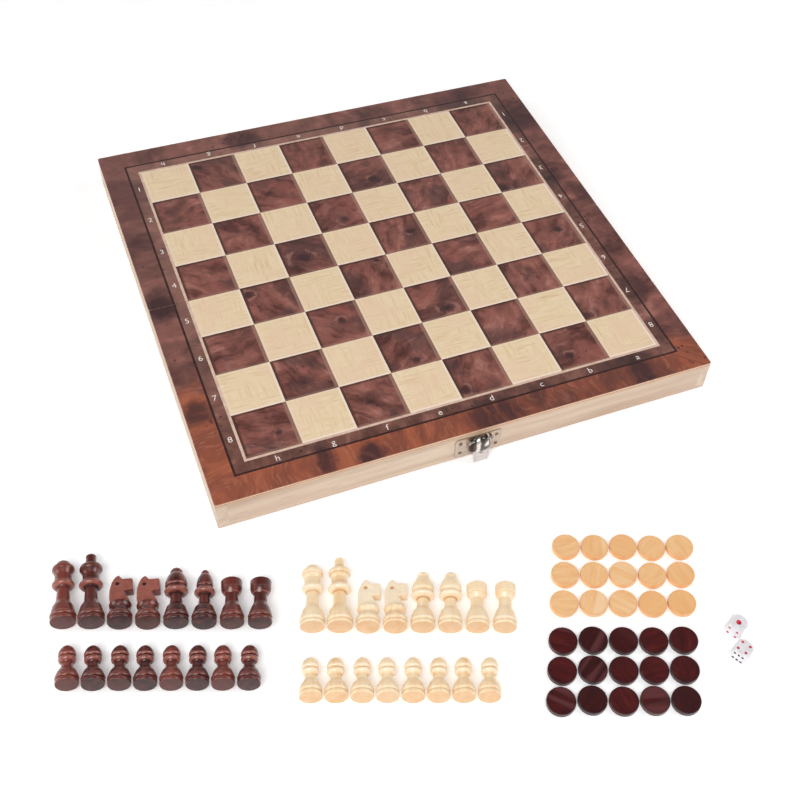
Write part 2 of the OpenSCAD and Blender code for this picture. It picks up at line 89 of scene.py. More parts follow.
class Finish:
    """A material with one Principled shader and the nodes behind it."""

    def __init__(self, name, shader=()):
        self.material = bpy.data.materials.new(name)
        self.material.use_nodes = True
        self.tree = self.material.node_tree
        self.shader = self.tree.nodes["Principled BSDF"]
        self.colour = None
        self.set(shader)

    def feed(self, socket, value):
        if isinstance(value, Shade):
            self.tree.links.new(value.socket, socket)
        else:
            socket.default_value = value

    def set(self, sockets):
        """Gives the shader's own sockets values or links."""
        for name, value in dict(sockets).items():
            self.feed(self.shader.inputs[name], value)

    def node(self, kind, settings=(), sockets=(), out=0):
        """Adds a node. Its settings are set first, then its sockets get values or links."""
        made = self.tree.nodes.new("ShaderNode" + kind)
        for name, value in dict(settings).items():
            if name == "stops":
                lay_stops(made.color_ramp, value)
            else:
                setattr(made, name, value)
        for name, value in dict(sockets).items():
            self.feed(made.inputs[name], value)
        return Shade(self, made.outputs[out])

    def maths(self, operation, *values):
        return self.node("Math", {"operation": operation}, dict(enumerate(values)))

    def most(self, first, second):
        return self.maths("MAXIMUM", first, second)

    def size(self, value):
        return self.maths("ABSOLUTE", value)

    def vectors(self, operation, *values, out=0):
        return self.node("VectorMath", {"operation": operation}, dict(enumerate(values)), out)

    def length(self, vector):
        return self.vectors("LENGTH", vector, out=1)

    def scaled(self, vector, by):
        return self.node("VectorMath", {"operation": "SCALE"}, {0: vector, 3: by})

    def mark(self, name, out=1):
        """A value that the mesh carries: 1 is its vector, 2 its number."""
        return self.node("Attribute", {"attribute_name": name}, out=out)

    def place(self):
        """Where a point lies on the piece at rest, in metres."""
        return self.node("TexCoord", out=3)

    def parts(self, vector):
        first = self.node("SeparateXYZ", sockets={0: vector})
        return [Shade(self, o) for o in first.socket.node.outputs]

    def joined(self, x, y, z=0.0):
        return self.node("CombineXYZ", sockets={0: x, 1: y, 2: z})

    def noise(self, place, scale, detail=2.0, rough=0.5, seed=None, out=0, stretch=None):
        """Noise, finer along the axes where stretch is large. Out 1 is its colour."""
        if stretch:
            place = self.vectors("MULTIPLY", place, stretch)
        sockets = {"Vector": place, "Scale": scale, "Detail": detail, "Roughness": rough}
        if seed is not None:
            sockets["W"] = seed
        return self.node("TexNoise", {"noise_dimensions": "3D" if seed is None else "4D"}, sockets, out)

    def cells(self, place, scale):
        return self.node("TexVoronoi", sockets={"Vector": place, "Scale": scale})

    def between(self, value, low, high, at_low=0.0, at_high=1.0):
        """Goes smoothly from one value to another as value goes from low to high."""
        sockets = {0: value, 1: low, 2: high, 3: at_low, 4: at_high}
        return self.node("MapRange", {"interpolation_type": "SMOOTHSTEP"}, sockets)

    def fades(self, value, low, high):
        return self.between(value, low, high, 1.0, 0.0)

    def patches(self, place, low, high, *noise, **more_noise):
        """Patches where a noise is over high, with soft borders down to low."""
        return self.between(self.noise(place, *noise, **more_noise), low, high)

    def mixed(self, share, first, second):
        """A colour that is the first at share 0 and the second at share 1."""
        return self.node("Mix", {"data_type": "RGBA"}, {0: share, 6: first, 7: second}, 2)

    def ramp(self, value, places, tones):
        return self.node("ValToRGB", {"stops": list(zip(places, tones))}, {0: value})

    def shifted(self, place, by, amount):
        """A place moved about by a noise's colour."""
        centred = self.vectors("SUBTRACT", by, (0.5, 0.5, 0.5))
        return self.vectors("ADD", place, self.scaled(centred, amount))

    def lay(self, share, over):
        """Covers a share of the colour so far with another."""
        self.colour = self.mixed(share, self.colour, over)

    def done(self, rough, relief, depth, strength=1.0):
        """Feeds the shader. depth is in metres, for a relief of one."""
        bump = self.node("Bump", sockets={"Height": relief, "Distance": depth, "Strength": strength})
        self.set({"Base Color": self.colour, "Roughness": rough, "Normal": bump})
        return self.material


def lay_stops(ramp, stops):
    while len(ramp.elements) < len(stops):
        ramp.elements.new(0.5)
    for element, (at, colour) in zip(ramp.elements, stops):
        element.position = at
        element.color = colour


def tint(red, green, blue):
    """A colour as read on a screen, 0 to 255, in the linear values that shaders use."""
    shares = [c / 255 for c in (red, green, blue)]
    linear = [s / 12.92 if s <= 0.04045 else ((s + 0.055) / 1.055) ** 2.4 for s in shares]
    return (*linear, 1.0)


def tints(*colours):
    return [tint(*colour) for colour in colours]


def mix_tints(first, second, share):
    """A colour part of the way between two."""
    return tuple(a + (b - a) * share for a, b in zip(first, second))


# ---- Finishes: wood of the box ----

WOOD_GLOSS = {"Specular IOR Level": 0.35, "Coat Weight": 0.12, "Coat Roughness": 0.35}
RAIL_LIGHT = tint(214, 193, 171)
RAIL_DARK = tint(182, 151, 128)
RAIL_PINK = tint(207, 178, 160)
SUNLIT = (1, 0.93, 0.84, 1)
PORE = (0.05, 0.03, 0.02, 1)
EDGE_DARK = (0.12, 0.07, 0.05, 1)


def rail_wood(name, grain):
    """Planed pale wood. grain is the axis (0 or 1) that its fibres follow."""
    f = Finish(name, WOOD_GLOSS)
    place = f.place()
    stretch = [1.0, 1.0, 1.0]
    stretch[grain] = 0.055
    drawn = f.vectors("MULTIPLY", place, tuple(stretch))
    bent = f.shifted(drawn, f.noise(place, 14, 2, out=1), 0.0035)
    rings = f.noise(bent, 150, 3, 0.55)
    broad = f.noise(bent, 42, 2)
    fibre = f.noise(bent, 1500, 2, 0.6)
    pore = f.fades(f.cells(bent, 900), 0.12, 0.3) * f.between(broad, 0.45, 0.62)
    middle, sunlit = mix_tints(RAIL_DARK, RAIL_LIGHT, 0.62), mix_tints(RAIL_LIGHT, SUNLIT, 0.25)
    figure = rings * 0.55 + broad * 0.3 + fibre * 0.15
    f.colour = f.ramp(figure, (0.3, 0.47, 0.56, 0.72), [RAIL_DARK, middle, RAIL_LIGHT, sunlit])
    f.lay(f.patches(place, 0.35, 0.7, 9, 1) * 0.5, RAIL_PINK)
    f.lay(pore * 0.5, mix_tints(RAIL_DARK, PORE, 0.45))

    # Darker along the rail's bottom edge and along its top edge, where the panel sits on it
    height = f.parts(place)[2]
    from_rim = f.size(height - RIM_Z * MM)
    from_top = f.size(height - (TABLE_TOP * MM + 0.0003))
    mottle = f.noise(place, 120, 3) * 0.0016
    edge_darkening = f.fades(f.maths("MINIMUM", from_rim, from_top) + mottle, 0.0006, 0.0021)
    f.lay(edge_darkening * 0.3, mix_tints(RAIL_DARK, EDGE_DARK, 0.5))
    relief = fibre * 0.5 + rings * 0.35 - pore * 0.8
    return f.done(0.46 + fibre * 0.18 - edge_darkening * 0.12, relief, 0.00012)


def plywood():
    """The panel: three veneers, whose edges show as two pale lines with a darker core between."""
    f = Finish("plywood_panel", {**WOOD_GLOSS, "Coat Weight": 0.1})
    place = f.place()
    height = f.parts(place)[2] + f.noise(place, 90, 2, stretch=(0.3, 0.3, 1)) * 0.0005
    core = f.between(height, 0.0217, 0.0219) * f.fades(height, 0.0228, 0.023)
    grain = f.noise(place, 420, 3, 0.6, stretch=(0.08, 0.08, 1))
    end = f.noise(place, 1300, 2, 0.6, stretch=(1, 1, 0.4))
    face = f.ramp(grain, (0.3, 0.6), tints((205, 168, 138), (226, 196, 168)))
    inner = f.ramp(end, (0.3, 0.65), tints((172, 128, 98), (206, 164, 130)))
    f.colour = f.mixed(core, face, inner)
    return f.done(0.5 + grain * 0.15, grain * 0.4 + end * core * 0.6 - core * 0.4, 0.00012)


# ---- Finishes: the printed sheets ----

SHEET_GLOSS = {"Specular IOR Level": 0.4, "Coat Weight": 0.35, "Coat Roughness": 0.2}
BURL_STOPS = (0.37, 0.435, 0.5, 0.56, 0.63)


def burl(f, warped, drawn, seed, tones):
    """Starts a finish off with swirling burl. warped is a place in it, drawn the same place turned to its
    grain, and tones are its darkest to its palest. Returns its fine streaks."""
    streak = f.noise(drawn, 1.0, 4, 0.6, seed, stretch=(1.1, 5.0, 1))
    figure = f.noise(warped, 2.4, 4, 0.6, seed)
    hair = f.noise(drawn, 1.0, 2, 0.6, seed, stretch=(4, 42, 1))
    f.colour = f.ramp(streak * 0.42 + figure * 0.46 + hair * 0.12, BURL_STOPS, tones)
    return hair


def dark_square():
    """Burl print, another piece of it on each square, in a printed frame of shadow and light."""
    f = Finish("dark_square_print", SHEET_GLOSS)
    at = f.mark("square_place")
    across, up, seed = f.parts(at)
    wide = f.noise(at, 1.6, 2, 0.5, seed, out=1)
    tight = f.noise(at, 5.5, 3, 0.6, seed, out=1)
    warped = f.shifted(f.shifted(at, wide, 0.6), tight, 0.14)
    drawn = f.shifted(f.shifted(f.mark("grain_place"), wide, 0.55), tight, 0.1)
    tones = tints((66, 35, 33), (98, 56, 50), (128, 79, 70), (150, 94, 83), (176, 122, 110))
    hair = burl(f, warped, drawn, seed, tones)
    flame = f.patches(drawn, 0.52, 0.66, 1.0, 3, 0.55, seed + 8.1, stretch=(0.9, 2.6, 1))
    f.lay(flame * 0.5, tint(154, 90, 80))
    cloud = f.patches(warped, 0.49, 0.6, 1.15, 3, 0.6, seed + 3.7)
    f.lay(cloud * 0.62, tint(82, 57, 56))
    wisp = f.patches(drawn, 0.59, 0.7, 1.0, 3, 0.6, seed + 6.6, stretch=(1.4, 8, 1))
    f.lay(wisp * 0.26, tint(180, 128, 116))

    # The square's main knot: a dark surround, a broken pale rim and a darker core
    knot_across, knot_up, knot_size = f.parts(f.mark("from_knot"))
    ragged = f.noise(at, 4.2, 3, 0.62, seed + 2.2) - 0.5
    away = f.length(f.joined(knot_across, knot_up * 1.2)) * knot_size + ragged * 2.6
    around = f.fades(away, 0.8, 2.9)
    f.lay(around * 0.4, tint(82, 50, 50))
    rim = f.between(away, 0.9, 1.25) * f.fades(away, 1.25, 1.8)
    f.lay(rim * f.patches(at, 0.46, 0.6, 3.1, 1, 0.5, seed + 9.4) * 0.5, tint(178, 128, 116))
    f.lay(f.fades(away, 0.35, 1.1) * 0.78, tint(56, 36, 40))

    clusters = f.most(f.patches(at, 0.55, 0.63, 2.4, 2, 0.5, seed + 5.3), around * 0.9)
    eyes = f.fades(f.cells(f.joined(across, up, seed), 12), 0.12, 0.27) * clusters
    f.lay(eyes * 0.8, tint(46, 24, 26))

    shadow = f.most(f.fades(across, 0.03, 0.07), f.between(up, 0.935, 0.975))
    f.lay(shadow * 0.8, tint(70, 43, 34))
    light = f.most(f.between(across, 0.92, 0.95), f.fades(up, 0.03, 0.06) * 0.6)
    f.lay(light * 0.6, tint(166, 128, 112))
    return f.done(0.3 + hair * 0.14, hair * 0.5 - eyes, 0.00004)


def light_square():
    """Pale print with thin streaks both ways, a little like a weave, and pale printed edges."""
    f = Finish("light_square_print", SHEET_GLOSS)
    at = f.mark("square_place")
    across, up, seed = f.parts(at)
    bent = f.shifted(at, f.noise(at, 3, 2, 0.5, seed, out=1), 0.05)
    level = f.noise(bent, 1.0, 3, 0.6, seed, stretch=(2.6, 30, 1))
    plumb = f.noise(bent, 1.0, 3, 0.6, seed + 2.9, stretch=(28, 2.4, 1))
    field = f.patches(at, 0.4, 0.6, 2.2, 1, 0.5, seed + 6.2)
    streak = f.most(level * (0.86 + field * 0.14), plumb * (0.97 - field * 0.16))
    tones = tints((240, 217, 182), (233, 207, 169), (227, 194, 155), (216, 168, 132))
    f.colour = f.ramp(streak, (0.42, 0.54, 0.64, 0.78), tones)
    blush = f.patches(at, 0.42, 0.62, 1.6, 1, 0.5, seed + 1.1)
    f.lay(blush * 0.45, tint(238, 206, 176))
    soft = f.most(f.fades(across, 0.02, 0.06), f.between(up, 0.94, 0.98))
    f.lay(soft * 0.3, tint(244, 226, 204))
    sides = f.most(f.between(across, 0.948, 0.975), f.fades(up, 0.025, 0.052))
    f.lay(sides * 0.75, tint(250, 230, 215))
    return f.done(0.3 + streak * 0.14, streak, 0.00003)


def printed_ink(name, fineness, tones, rough, detail=3, full=0.7, spread=0.12, depth=0.00003):
    """Ink that lies a little unevenly. Its pale tone is full from that value of the noise up."""
    f = Finish(name, SHEET_GLOSS)
    uneven = f.noise(f.place(), fineness, detail, 0.6)
    f.colour = f.ramp(uneven, (0.3, full), tones)
    return f.done(rough + uneven * spread, uneven, depth)


def letter_print():
    """The pale ink of the letters and of the inner table's lines."""
    tones = tints((228, 214, 204), (250, 240, 232))
    return printed_ink("letter_print", 900, tones, 0.35, 2, 0.65, 0.1, 0.00002)


# Dark stretches of the border's figure: (x, y) in squares from the middle of the board, its half
# length along x and y, and how dark it is
STAINS = [
    ((-2.74, -4.45), (0.16, 0.4), 0.8),
    ((-1.96, -4.6), (0.24, 0.3), 0.9),
    ((0.4, -4.5), (0.62, 0.42), 0.85),
    ((1.25, -4.4), (0.25, 0.25), 0.5),
    ((3.4, -4.5), (0.22, 0.45), 0.85),
    ((-4.5, -2.7), (0.26, 0.3), 0.75),
    ((-4.55, 0.05), (0.34, 0.42), 0.95),
    ((-4.45, 1.9), (0.3, 0.25), 0.5),
    ((4.3, -2.5), (0.28, 0.42), 0.6),
    ((4.62, 0.4), (0.22, 0.35), 0.6),
    ((4.4, 3.2), (0.3, 0.3), 0.45),
    ((-1.75, 4.5), (0.4, 0.28), 0.75),
    ((1.2, 4.55), (0.5, 0.2), 0.5),
    ((3.6, 4.5), (0.3, 0.25), 0.45),
]
# How far the sheet reaches from the board's middle, in squares, where its rim starts to wear
WORN_FROM = 4.757
WORN_TO = 4.777


def border_burl(name, orange_share, back_left_sheen, tones, flame, deep):
    """Burl in long flames across the border. It turns orange towards the clasp and down the left side, and a
    painted sheen makes it paler towards the back and the left.
    """
    f = Finish(name, SHEET_GLOSS)
    x, y = f.parts(f.scaled(f.place(), 1000 / SQUARE))[:2]
    flat = f.joined(x, y)
    wide = f.noise(flat, 0.9, 2, 0.5, out=1)
    tight = f.noise(flat, 4.2, 3, 0.6, out=1)
    warped = f.shifted(f.shifted(flat, wide, 0.8), tight, 0.18)
    side_on = f.between(f.size(x) - f.size(y), -0.2, 0.2)
    run = x + (y - x) * side_on
    reach = y + (x - y) * side_on
    drawn = f.shifted(f.shifted(f.joined(reach, run), wide, 0.9), tight, 0.14)
    hair = burl(f, warped, f.vectors("MULTIPLY", drawn, (1, 0.55, 1)), 4.4, tones)
    to_front = f.between(y + x * 0.14, -1.6, -4.4)
    to_left = f.between(x, 1.5, -3.5)
    patch = f.noise(flat, 0.8, 2, 0.5)
    lick = f.noise(drawn, 1.0, 3, 0.6, 2.7, stretch=(0.8, 2.2, 1))
    heat = f.between(to_front * 0.55 + to_left * 0.14 + patch * 0.45 + lick * 0.5, 0.72, 0.98)
    warm = f.mixed(f.between(lick, 0.4, 0.62), mix_tints(flame, deep, 0.45), flame)
    warm = f.mixed(f.between(hair, 0.5, 0.68) * 0.5, warm, mix_tints(flame, (1, 0.6, 0.35, 1), 0.16))
    f.lay(heat * orange_share * 0.85, warm)
    # Painted sheen: a pale tint that grows towards the back and the left
    f.lay(f.between(y - x * 0.8, -1.0, 4.5) * back_left_sheen, tint(172, 126, 114))
    blotch = f.patches(f.joined(reach * 0.35, run, 3.3), 0.54, 0.64, 0.9, 3, 0.6, 1.9)
    f.lay(blotch * 0.55, deep)

    stained = f.shifted(f.shifted(flat, wide, 0.25), tight, 0.3)
    stains = []
    for (stain_x, stain_y), (half_x, half_y), depth in STAINS:
        off = f.vectors("SUBTRACT", stained, (stain_x, stain_y, 0.0))
        shrunk = f.vectors("MULTIPLY", off, (1 / half_x, 1 / half_y, 0.0))
        stains.append(f.between(f.length(shrunk), 0.5, 1.35, depth, 0.0))
    stain = reduce(f.most, stains)
    streak = f.noise(drawn, 1.0, 3, 0.6, 7.7, stretch=(1.0, 7.0, 1))
    f.lay(stain * f.between(streak, 0.36, 0.5, 0.6, 1.0), mix_tints(deep, tint(40, 24, 28), 0.35))
    specks = f.fades(f.cells(flat, 7), 0.12, 0.26) * f.most(f.between(patch, 0.54, 0.62), stain)
    f.lay(specks * 0.75, mix_tints(deep, (0, 0, 0, 1), 0.4))
    outmost = f.most(f.size(x), f.size(y)) + f.noise(flat, 3.5, 4, 0.7) * 0.03
    f.lay(f.between(outmost, WORN_FROM, WORN_TO) * 0.5, tint(160, 116, 98))
    return f.done(0.3 + hair * 0.14, hair, 0.00004)


def sheet_edge():
    """The cut edge of a printed sheet, a brown line of card."""
    f = Finish("sheet_edge", {"Specular IOR Level": 0.3})
    layers = f.noise(f.place(), 9000, 2, 0.6, stretch=(0.05, 0.05, 1))
    f.colour = f.ramp(layers, (0.3, 0.7), tints((140, 98, 78), (196, 158, 132)))
    return f.done(0.7 + layers * 0.1, layers, 0.00004)


def table_print(name, seed, tones):
    """A colour of the backgammon table, in a burl of its own."""
    f = Finish(name, SHEET_GLOSS)
    place = f.scaled(f.place(), 1000 / SQUARE)
    wide = f.noise(place, 0.9, 2, 0.5, out=1)
    tight = f.noise(place, 5, 3, 0.6, out=1)
    drawn = f.shifted(f.shifted(place, wide, 0.5), tight, 0.08)
    hair = burl(f, drawn, f.vectors("MULTIPLY", drawn, (0.6, 1, 1)), seed, tones)
    return f.done(0.32 + hair * 0.12, hair, 0.00004)


# ---- Finishes: turned men, draughts, dice and metal ----


def own_marks(f):
    """A piece's own place, its number, and how far a point lies in a groove or stands out on a ring."""
    return f.mark("own_place"), f.mark("piece_number", 2), f.mark("hollow", 2)


def turned_wood(name, tones, groove_shade_tint, rim_tint):
    """Lacquered turned wood, with painted shade in its grooves and under its foot and painted highlights on
    its rings.
    """
    f = Finish(name, {"Specular IOR Level": 0.4, "Coat Roughness": 0.12})
    own, seed, hollow = own_marks(f)
    drawn = f.vectors("MULTIPLY", own, (1, 1, 0.11))
    bent = f.shifted(drawn, f.noise(own, 45, 2, 0.5, seed, out=1), 0.0022)
    rings = f.noise(bent, 210, 3, 0.55, seed)
    fibre = f.noise(bent, 1300, 2, 0.6, seed, stretch=(1, 1, 0.6))
    f.colour = f.ramp(rings * 0.78 + fibre * 0.22, (0.3, 0.45, 0.56, 0.72), tones)
    f.lay(f.patches(f.joined(seed * 3.1, seed * 1.7), 0.42, 0.7, 1.0, 0.0) * 0.5, tones[3])
    # Painted shade in the grooves and on the foot's underside, which also take less lacquer; painted
    # highlights, broken up by noise, on the rings and other parts that stand out
    groove = f.between(hollow, 0.05, 0.75)
    f.lay(groove * 0.85, groove_shade_tint)
    mottle = f.between(f.noise(own, 500, 3, 0.6, seed), 0.3, 0.7, 0.5, 0.75)
    f.lay(f.between(hollow, -0.08, -0.7) * mottle, rim_tint)
    lathe_marks = f.noise(f.joined(0.0, 0.0, f.parts(own)[2] * 2600), 1.0, 2, 0.6, seed)
    f.set({"Coat Weight": 0.6 - groove * 0.6})
    return f.done(0.24 + fibre * 0.1 + groove * 0.4, fibre * 0.35 + lathe_marks * 0.5, 0.00002, 0.6)


def disc_wood(name, tones, rim_tint, stripe_tint, spread):
    """Lacquered draughtsman, each one a little different in colour and some with stripes of grain."""
    f = Finish(name, {"Specular IOR Level": 0.35, "Coat Weight": 0.35, "Coat Roughness": 0.15})
    own, seed, hollow = own_marks(f)
    drawn = f.vectors("MULTIPLY", own, (0.18, 1, 1))
    bent = f.shifted(drawn, f.noise(own, 50, 2, 0.5, seed, out=1), 0.003)
    grain = f.noise(bent, 330, 3, 0.6, seed)
    fibre = f.noise(bent, 1700, 2, 0.6, seed)
    f.colour = f.ramp(grain * 0.75 + fibre * 0.25, (0.26, 0.5, 0.78), tones)
    f.lay(f.patches(f.joined(seed * 2.3, seed * 4.1, 0.7), 0.4, 0.66, 1.0, 0.0) * spread, rim_tint)
    striped = f.patches(f.joined(seed * 5.3, 1.0, seed * 2.9), 0.53, 0.6, 1.0, 0.0)
    stripe = f.patches(own, 0.48, 0.6, 150, 1, 0.5, seed, stretch=(0.08, 1, 1))
    f.lay(striped * stripe * 0.5, stripe_tint)
    f.lay(f.between(hollow, 0.0, 1.0) * 0.45, rim_tint)
    return f.done(0.24 + fibre * 0.14, fibre * 0.5 + grain * 0.3, 0.00005)


def moulded_plastic(name, tones, depth):
    """Glossy plastic with faint flow marks."""
    f = Finish(name, {"Specular IOR Level": 0.5, "Coat Weight": 0.6, "Coat Roughness": 0.08})
    own = f.mark("own_place")
    cloud = f.noise(own, 260, 3, 0.6)
    f.colour = f.ramp(cloud, (0.3, 0.7), tones)
    return f.done(0.18 + cloud * 0.14, f.noise(own, 900, 2), depth)


def bright_metal(name, tone, dull, rough_low, brush):
    """Nickel plate with dull stains and fine scratches along one axis."""
    f = Finish(name, {"Metallic": 1.0})
    place = f.place()
    stain = f.noise(place, 300, 4, 0.65)
    scratch = f.noise(place, 4200, 2, 0.7, stretch=brush)
    f.colour = f.mixed(f.between(stain, 0.46, 0.72) * 0.6, tone, dull)
    rough = rough_low + f.between(stain, 0.4, 0.75) * 0.14 + scratch * 0.07
    return f.done(rough, scratch, 0.00001, 0.5)


def tarnished_dome():
    """The lever's dome, its colour holding painted reflections: dark grey metal, darker on its cheeks, with
    painted highlights in a streak left of its middle, in a patch high on its right and along its lip.
    """
    f = Finish("tarnished_dome", {"Metallic": 1.0})
    place = f.scaled(f.place(), 1000)
    ragged = (f.noise(place, 0.5, 2) - 0.5) * 1.6
    x, y, z = f.parts(place)
    # Masks for the painted highlights: a streak left of the middle, a patch high on the right and the lip.
    # The cheeks take a painted dark reflection.
    streak = f.fades(f.size(x + (DOME_Z - z) * 0.12 + 2.6) + ragged, 0.7, 1.7)
    brow = f.fades(f.length(f.joined((x - 3.8) * 0.8, z - 15.2)) + ragged, 0.9, 2.3)
    lip = f.fades(z, SKIRT_Z + 0.5, SKIRT_Z + 0.9)
    painted_highlight = f.most(f.most(streak, lip), brow)
    cheek = f.between(f.size(x), 4.6, 6.0)
    f.colour = f.mixed(cheek, tint(96, 88, 84), tint(66, 52, 44))
    f.lay(painted_highlight * (1.0 - cheek * 0.8), tint(226, 218, 212))
    return f.done(0.09 + cheek * 0.1, ragged, 0.00001)


# ---- Making meshes ----


class Work:
    """Corners and faces of a piece being made, with what its finish has to know about them."""

    def __init__(self):
        self.corners = []
        self.faces = []
        self.finishes = []
        self.marks = {}

    def add(self, corners, faces, place=None, finish=0, **marks):
        """Adds corners in millimetres, moved by place. A mark is one value for all or a list."""
        first = len(self.corners)
        place = place or Matrix()
        self.corners += [place @ Vector(c) for c in corners]
        self.faces += [[first + i for i in face] for face in faces]
        self.finishes += finish if isinstance(finish, list) else [finish] * len(faces)
        for name, values in marks.items():
            many = values if isinstance(values, list) else [values] * len(corners)
            self.marks.setdefault(name, []).extend(many)

    def add_own(self, corners, faces, place, number, hollow):
        """Adds a loose thing that carries its own place, its number and its hollows for its finish."""
        own = [tuple(c * MM for c in corner) for corner in corners]
        self.add(corners, faces, place, own_place=own, piece_number=float(number), hollow=hollow)

    def piece(self, name, finishes, smooth_under=None):
        mesh = bpy.data.meshes.new(name)
        mesh.from_pydata([c * MM for c in self.corners], [], self.faces)
        for finish in finishes:
            mesh.materials.append(finish)
        mesh.polygons.foreach_set("material_index", self.finishes)
        for mark, values in self.marks.items():
            if isinstance(values[0], tuple):
                layer = mesh.attributes.new(mark, "FLOAT_VECTOR", "POINT")
                layer.data.foreach_set("vector", [n for value in values for n in value])
            else:
                layer = mesh.attributes.new(mark, "FLOAT", "POINT")
                layer.data.foreach_set("value", values)
        if smooth_under is not None:
            mesh.shade_smooth()
            mesh.set_sharp_from_angle(angle=math.radians(smooth_under))
        made = bpy.data.objects.new(name, mesh)
        bpy.context.scene.collection.objects.link(made)
        return made


def stand_in(piece, body, node):
    """The piece moves with a body and shows instead of a CAD node."""
    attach(piece, body)
    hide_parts(node)


def oblong(x0, y0, x1, y1):
    return [(x0, y0), (x1, y0), (x1, y1), (x0, y1)]


def lay_flat(work, points, side, z, facing, finish, **marks):
    """A level face that looks up (1) or down (-1), whichever way its points go round."""
    ring = [(x, y * side, z) for x, y in points]
    area = sum(p[0] * q[1] - q[0] * p[1] for p, q in zip(ring, ring[1:] + ring[:1]))
    order = list(range(len(ring)))
    work.add(ring, [order if area * facing > 0 else order[::-1]], None, finish, **marks)


def grid_faces(rows, columns, closed=True, first=0, flip=False):
    """Faces between rows of points that follow on each other. Each row is a ring if closed, and the
    faces go round the other way if flip."""
    faces = []
    for low in range(first, first + (rows - 1) * columns, columns):
        for c in range(columns if closed else columns - 1):
            n = (c + 1) % columns
            ends = [low + n, low + columns + n, low + columns + c]
            faces.append([low + c] + (ends[::-1] if flip else ends))
    return faces


def on_circle(radius, degrees, centre=(0, 0)):
    turn = math.radians(degrees)
    return (centre[0] + radius * math.cos(turn), centre[1] + radius * math.sin(turn))


def rounded_corner(before, at, after, cut, steps):
    """Points on a curve that takes off a corner, from cut before it to cut after it."""
    back, ahead = math.dist(before, at), math.dist(at, after)
    reach = min(cut, back * 0.45, ahead * 0.45)
    first = [p + (q - p) * reach / back for p, q in zip(at, before)]
    last = [p + (q - p) * reach / ahead for p, q in zip(at, after)]
    made = []
    for s in range(steps + 1):
        t = s / steps
        shares = ((1 - t) ** 2, 2 * t * (1 - t), t * t)
        made.append(tuple(sum(w * c for w, c in zip(shares, axis)) for axis in zip(first, at, last)))
    return made


# ---- The chess board's two printed sheets ----

# How far out each part of the print starts, in squares from the middle
LINE_IN = 4.0
BAND_IN = 4.05
RULE_IN = 4.255
BORDER_IN = 4.295
SHEET_FACE = SHEET_TOP - 0.02
INK_TOP = SHEET_TOP - 0.005
SHEET_SOFT = 0.15
CORNER_STEPS = 5
LETTER_H = 6.4
# How high the middle of a letter is, as a share of its size
LETTER_MIDDLE = 0.36
LIGHT, DARK, LINE, BAND, RULE, BORDER, CUT, LETTERS = range(8)

# The larger knots that catch the eye: (column, row from the back) to (across, up, size) in squares
KNOTS = {
    (2, 1): (0.17, 0.8, 0.12),
    (5, 2): (0.55, 0.27, 0.17),
    (4, 3): (0.58, 0.26, 0.12),
    (8, 3): (0.08, 0.14, 0.14),
    (3, 4): (0.4, 0.42, 0.2),
    (5, 4): (0.74, 0.5, 0.1),
    (2, 5): (0.14, 0.78, 0.11),
    (4, 5): (0.78, 0.9, 0.08),
    (8, 5): (0.62, 0.58, 0.11),
    (3, 6): (0.58, 0.55, 0.1),
    (5, 6): (0.62, 0.2, 0.14),
    (4, 7): (0.55, 0.18, 0.12),
    (8, 7): (0.06, 0.12, 0.13),
    (1, 8): (0.68, 0.36, 0.09),
    (3, 8): (0.42, 0.48, 0.09),
    (5, 8): (0.12, 0.18, 0.12),
    (7, 8): (0.3, 0.3, 0.1),
}
NO_KNOT = (5.0, 5.0, 0.1)

# Which way the figure runs in each square of the four rows that repeat, in degrees
GRAIN_ANGLES = {1: (-58, 68, 12, 50), 2: (18, -35, 25, 88), 3: (-62, 32, 60, 62), 4: (-22, -40, 80, 10)}
# What the finishes read on the faces that aren't squares
PLAIN = {"square_place": (0.0, 0.0, 0.0), "grain_place": (0.0, 0.0, 0.0), "from_knot": (9.0, 9.0, 1.0)}


def square_face(work, side, column, step):
    """One square, its column counted from the left and its step from the fold."""
    row = 4 - step if side > 0 else 5 + step
    kind = (row - 1) % 4 + 1
    seed = column * 3.17 + kind * 11.3 + (0.35 if row > 4 else 0.0)
    turn = math.radians(GRAIN_ANGLES[kind][(column - 1) // 2])
    knot_across, knot_up, knot_size = KNOTS.get((column, row), NO_KNOT)
    low = step * SQUARE if step else BACK_Y
    ring = oblong((column - 5) * SQUARE, low, (column - 4) * SQUARE, (step + 1) * SQUARE)
    marks = {"square_place": [], "grain_place": [], "from_knot": []}
    for x, y in ring:
        across = x / SQUARE + 5 - column
        up = y * side / SQUARE - (4 - row)
        along = across * math.cos(turn) + up * math.sin(turn)
        off = up * math.cos(turn) - across * math.sin(turn)
        marks["square_place"].append((across, up, seed))
        marks["grain_place"].append((along, off, seed))
        marks["from_knot"].append((across - knot_across, up - knot_up, 1 / knot_size))
    finish = DARK if (column + row) % 2 else LIGHT
    lay_flat(work, ring, side, SHEET_FACE, 1, finish, **marks)


def sheet_outline(inset):
    """The outline of the rear sheet, from its right end of the fold round to its left one."""
    half = BOARD_W / 2
    made = []
    for way, start in ((1, -90), (1, 0), (-1, 90), (-1, 180)):
        at_fold = start in (-90, 180)
        radius = FOLD_CORNER_R if at_fold else CORNER_R
        centre = (way * (half - radius), BACK_Y + radius if at_fold else half - radius)
        turns = [start + 90 * i / CORNER_STEPS for i in range(CORNER_STEPS + 1)]
        made += [on_circle(radius - inset, turn, centre) for turn in turns]
    return made


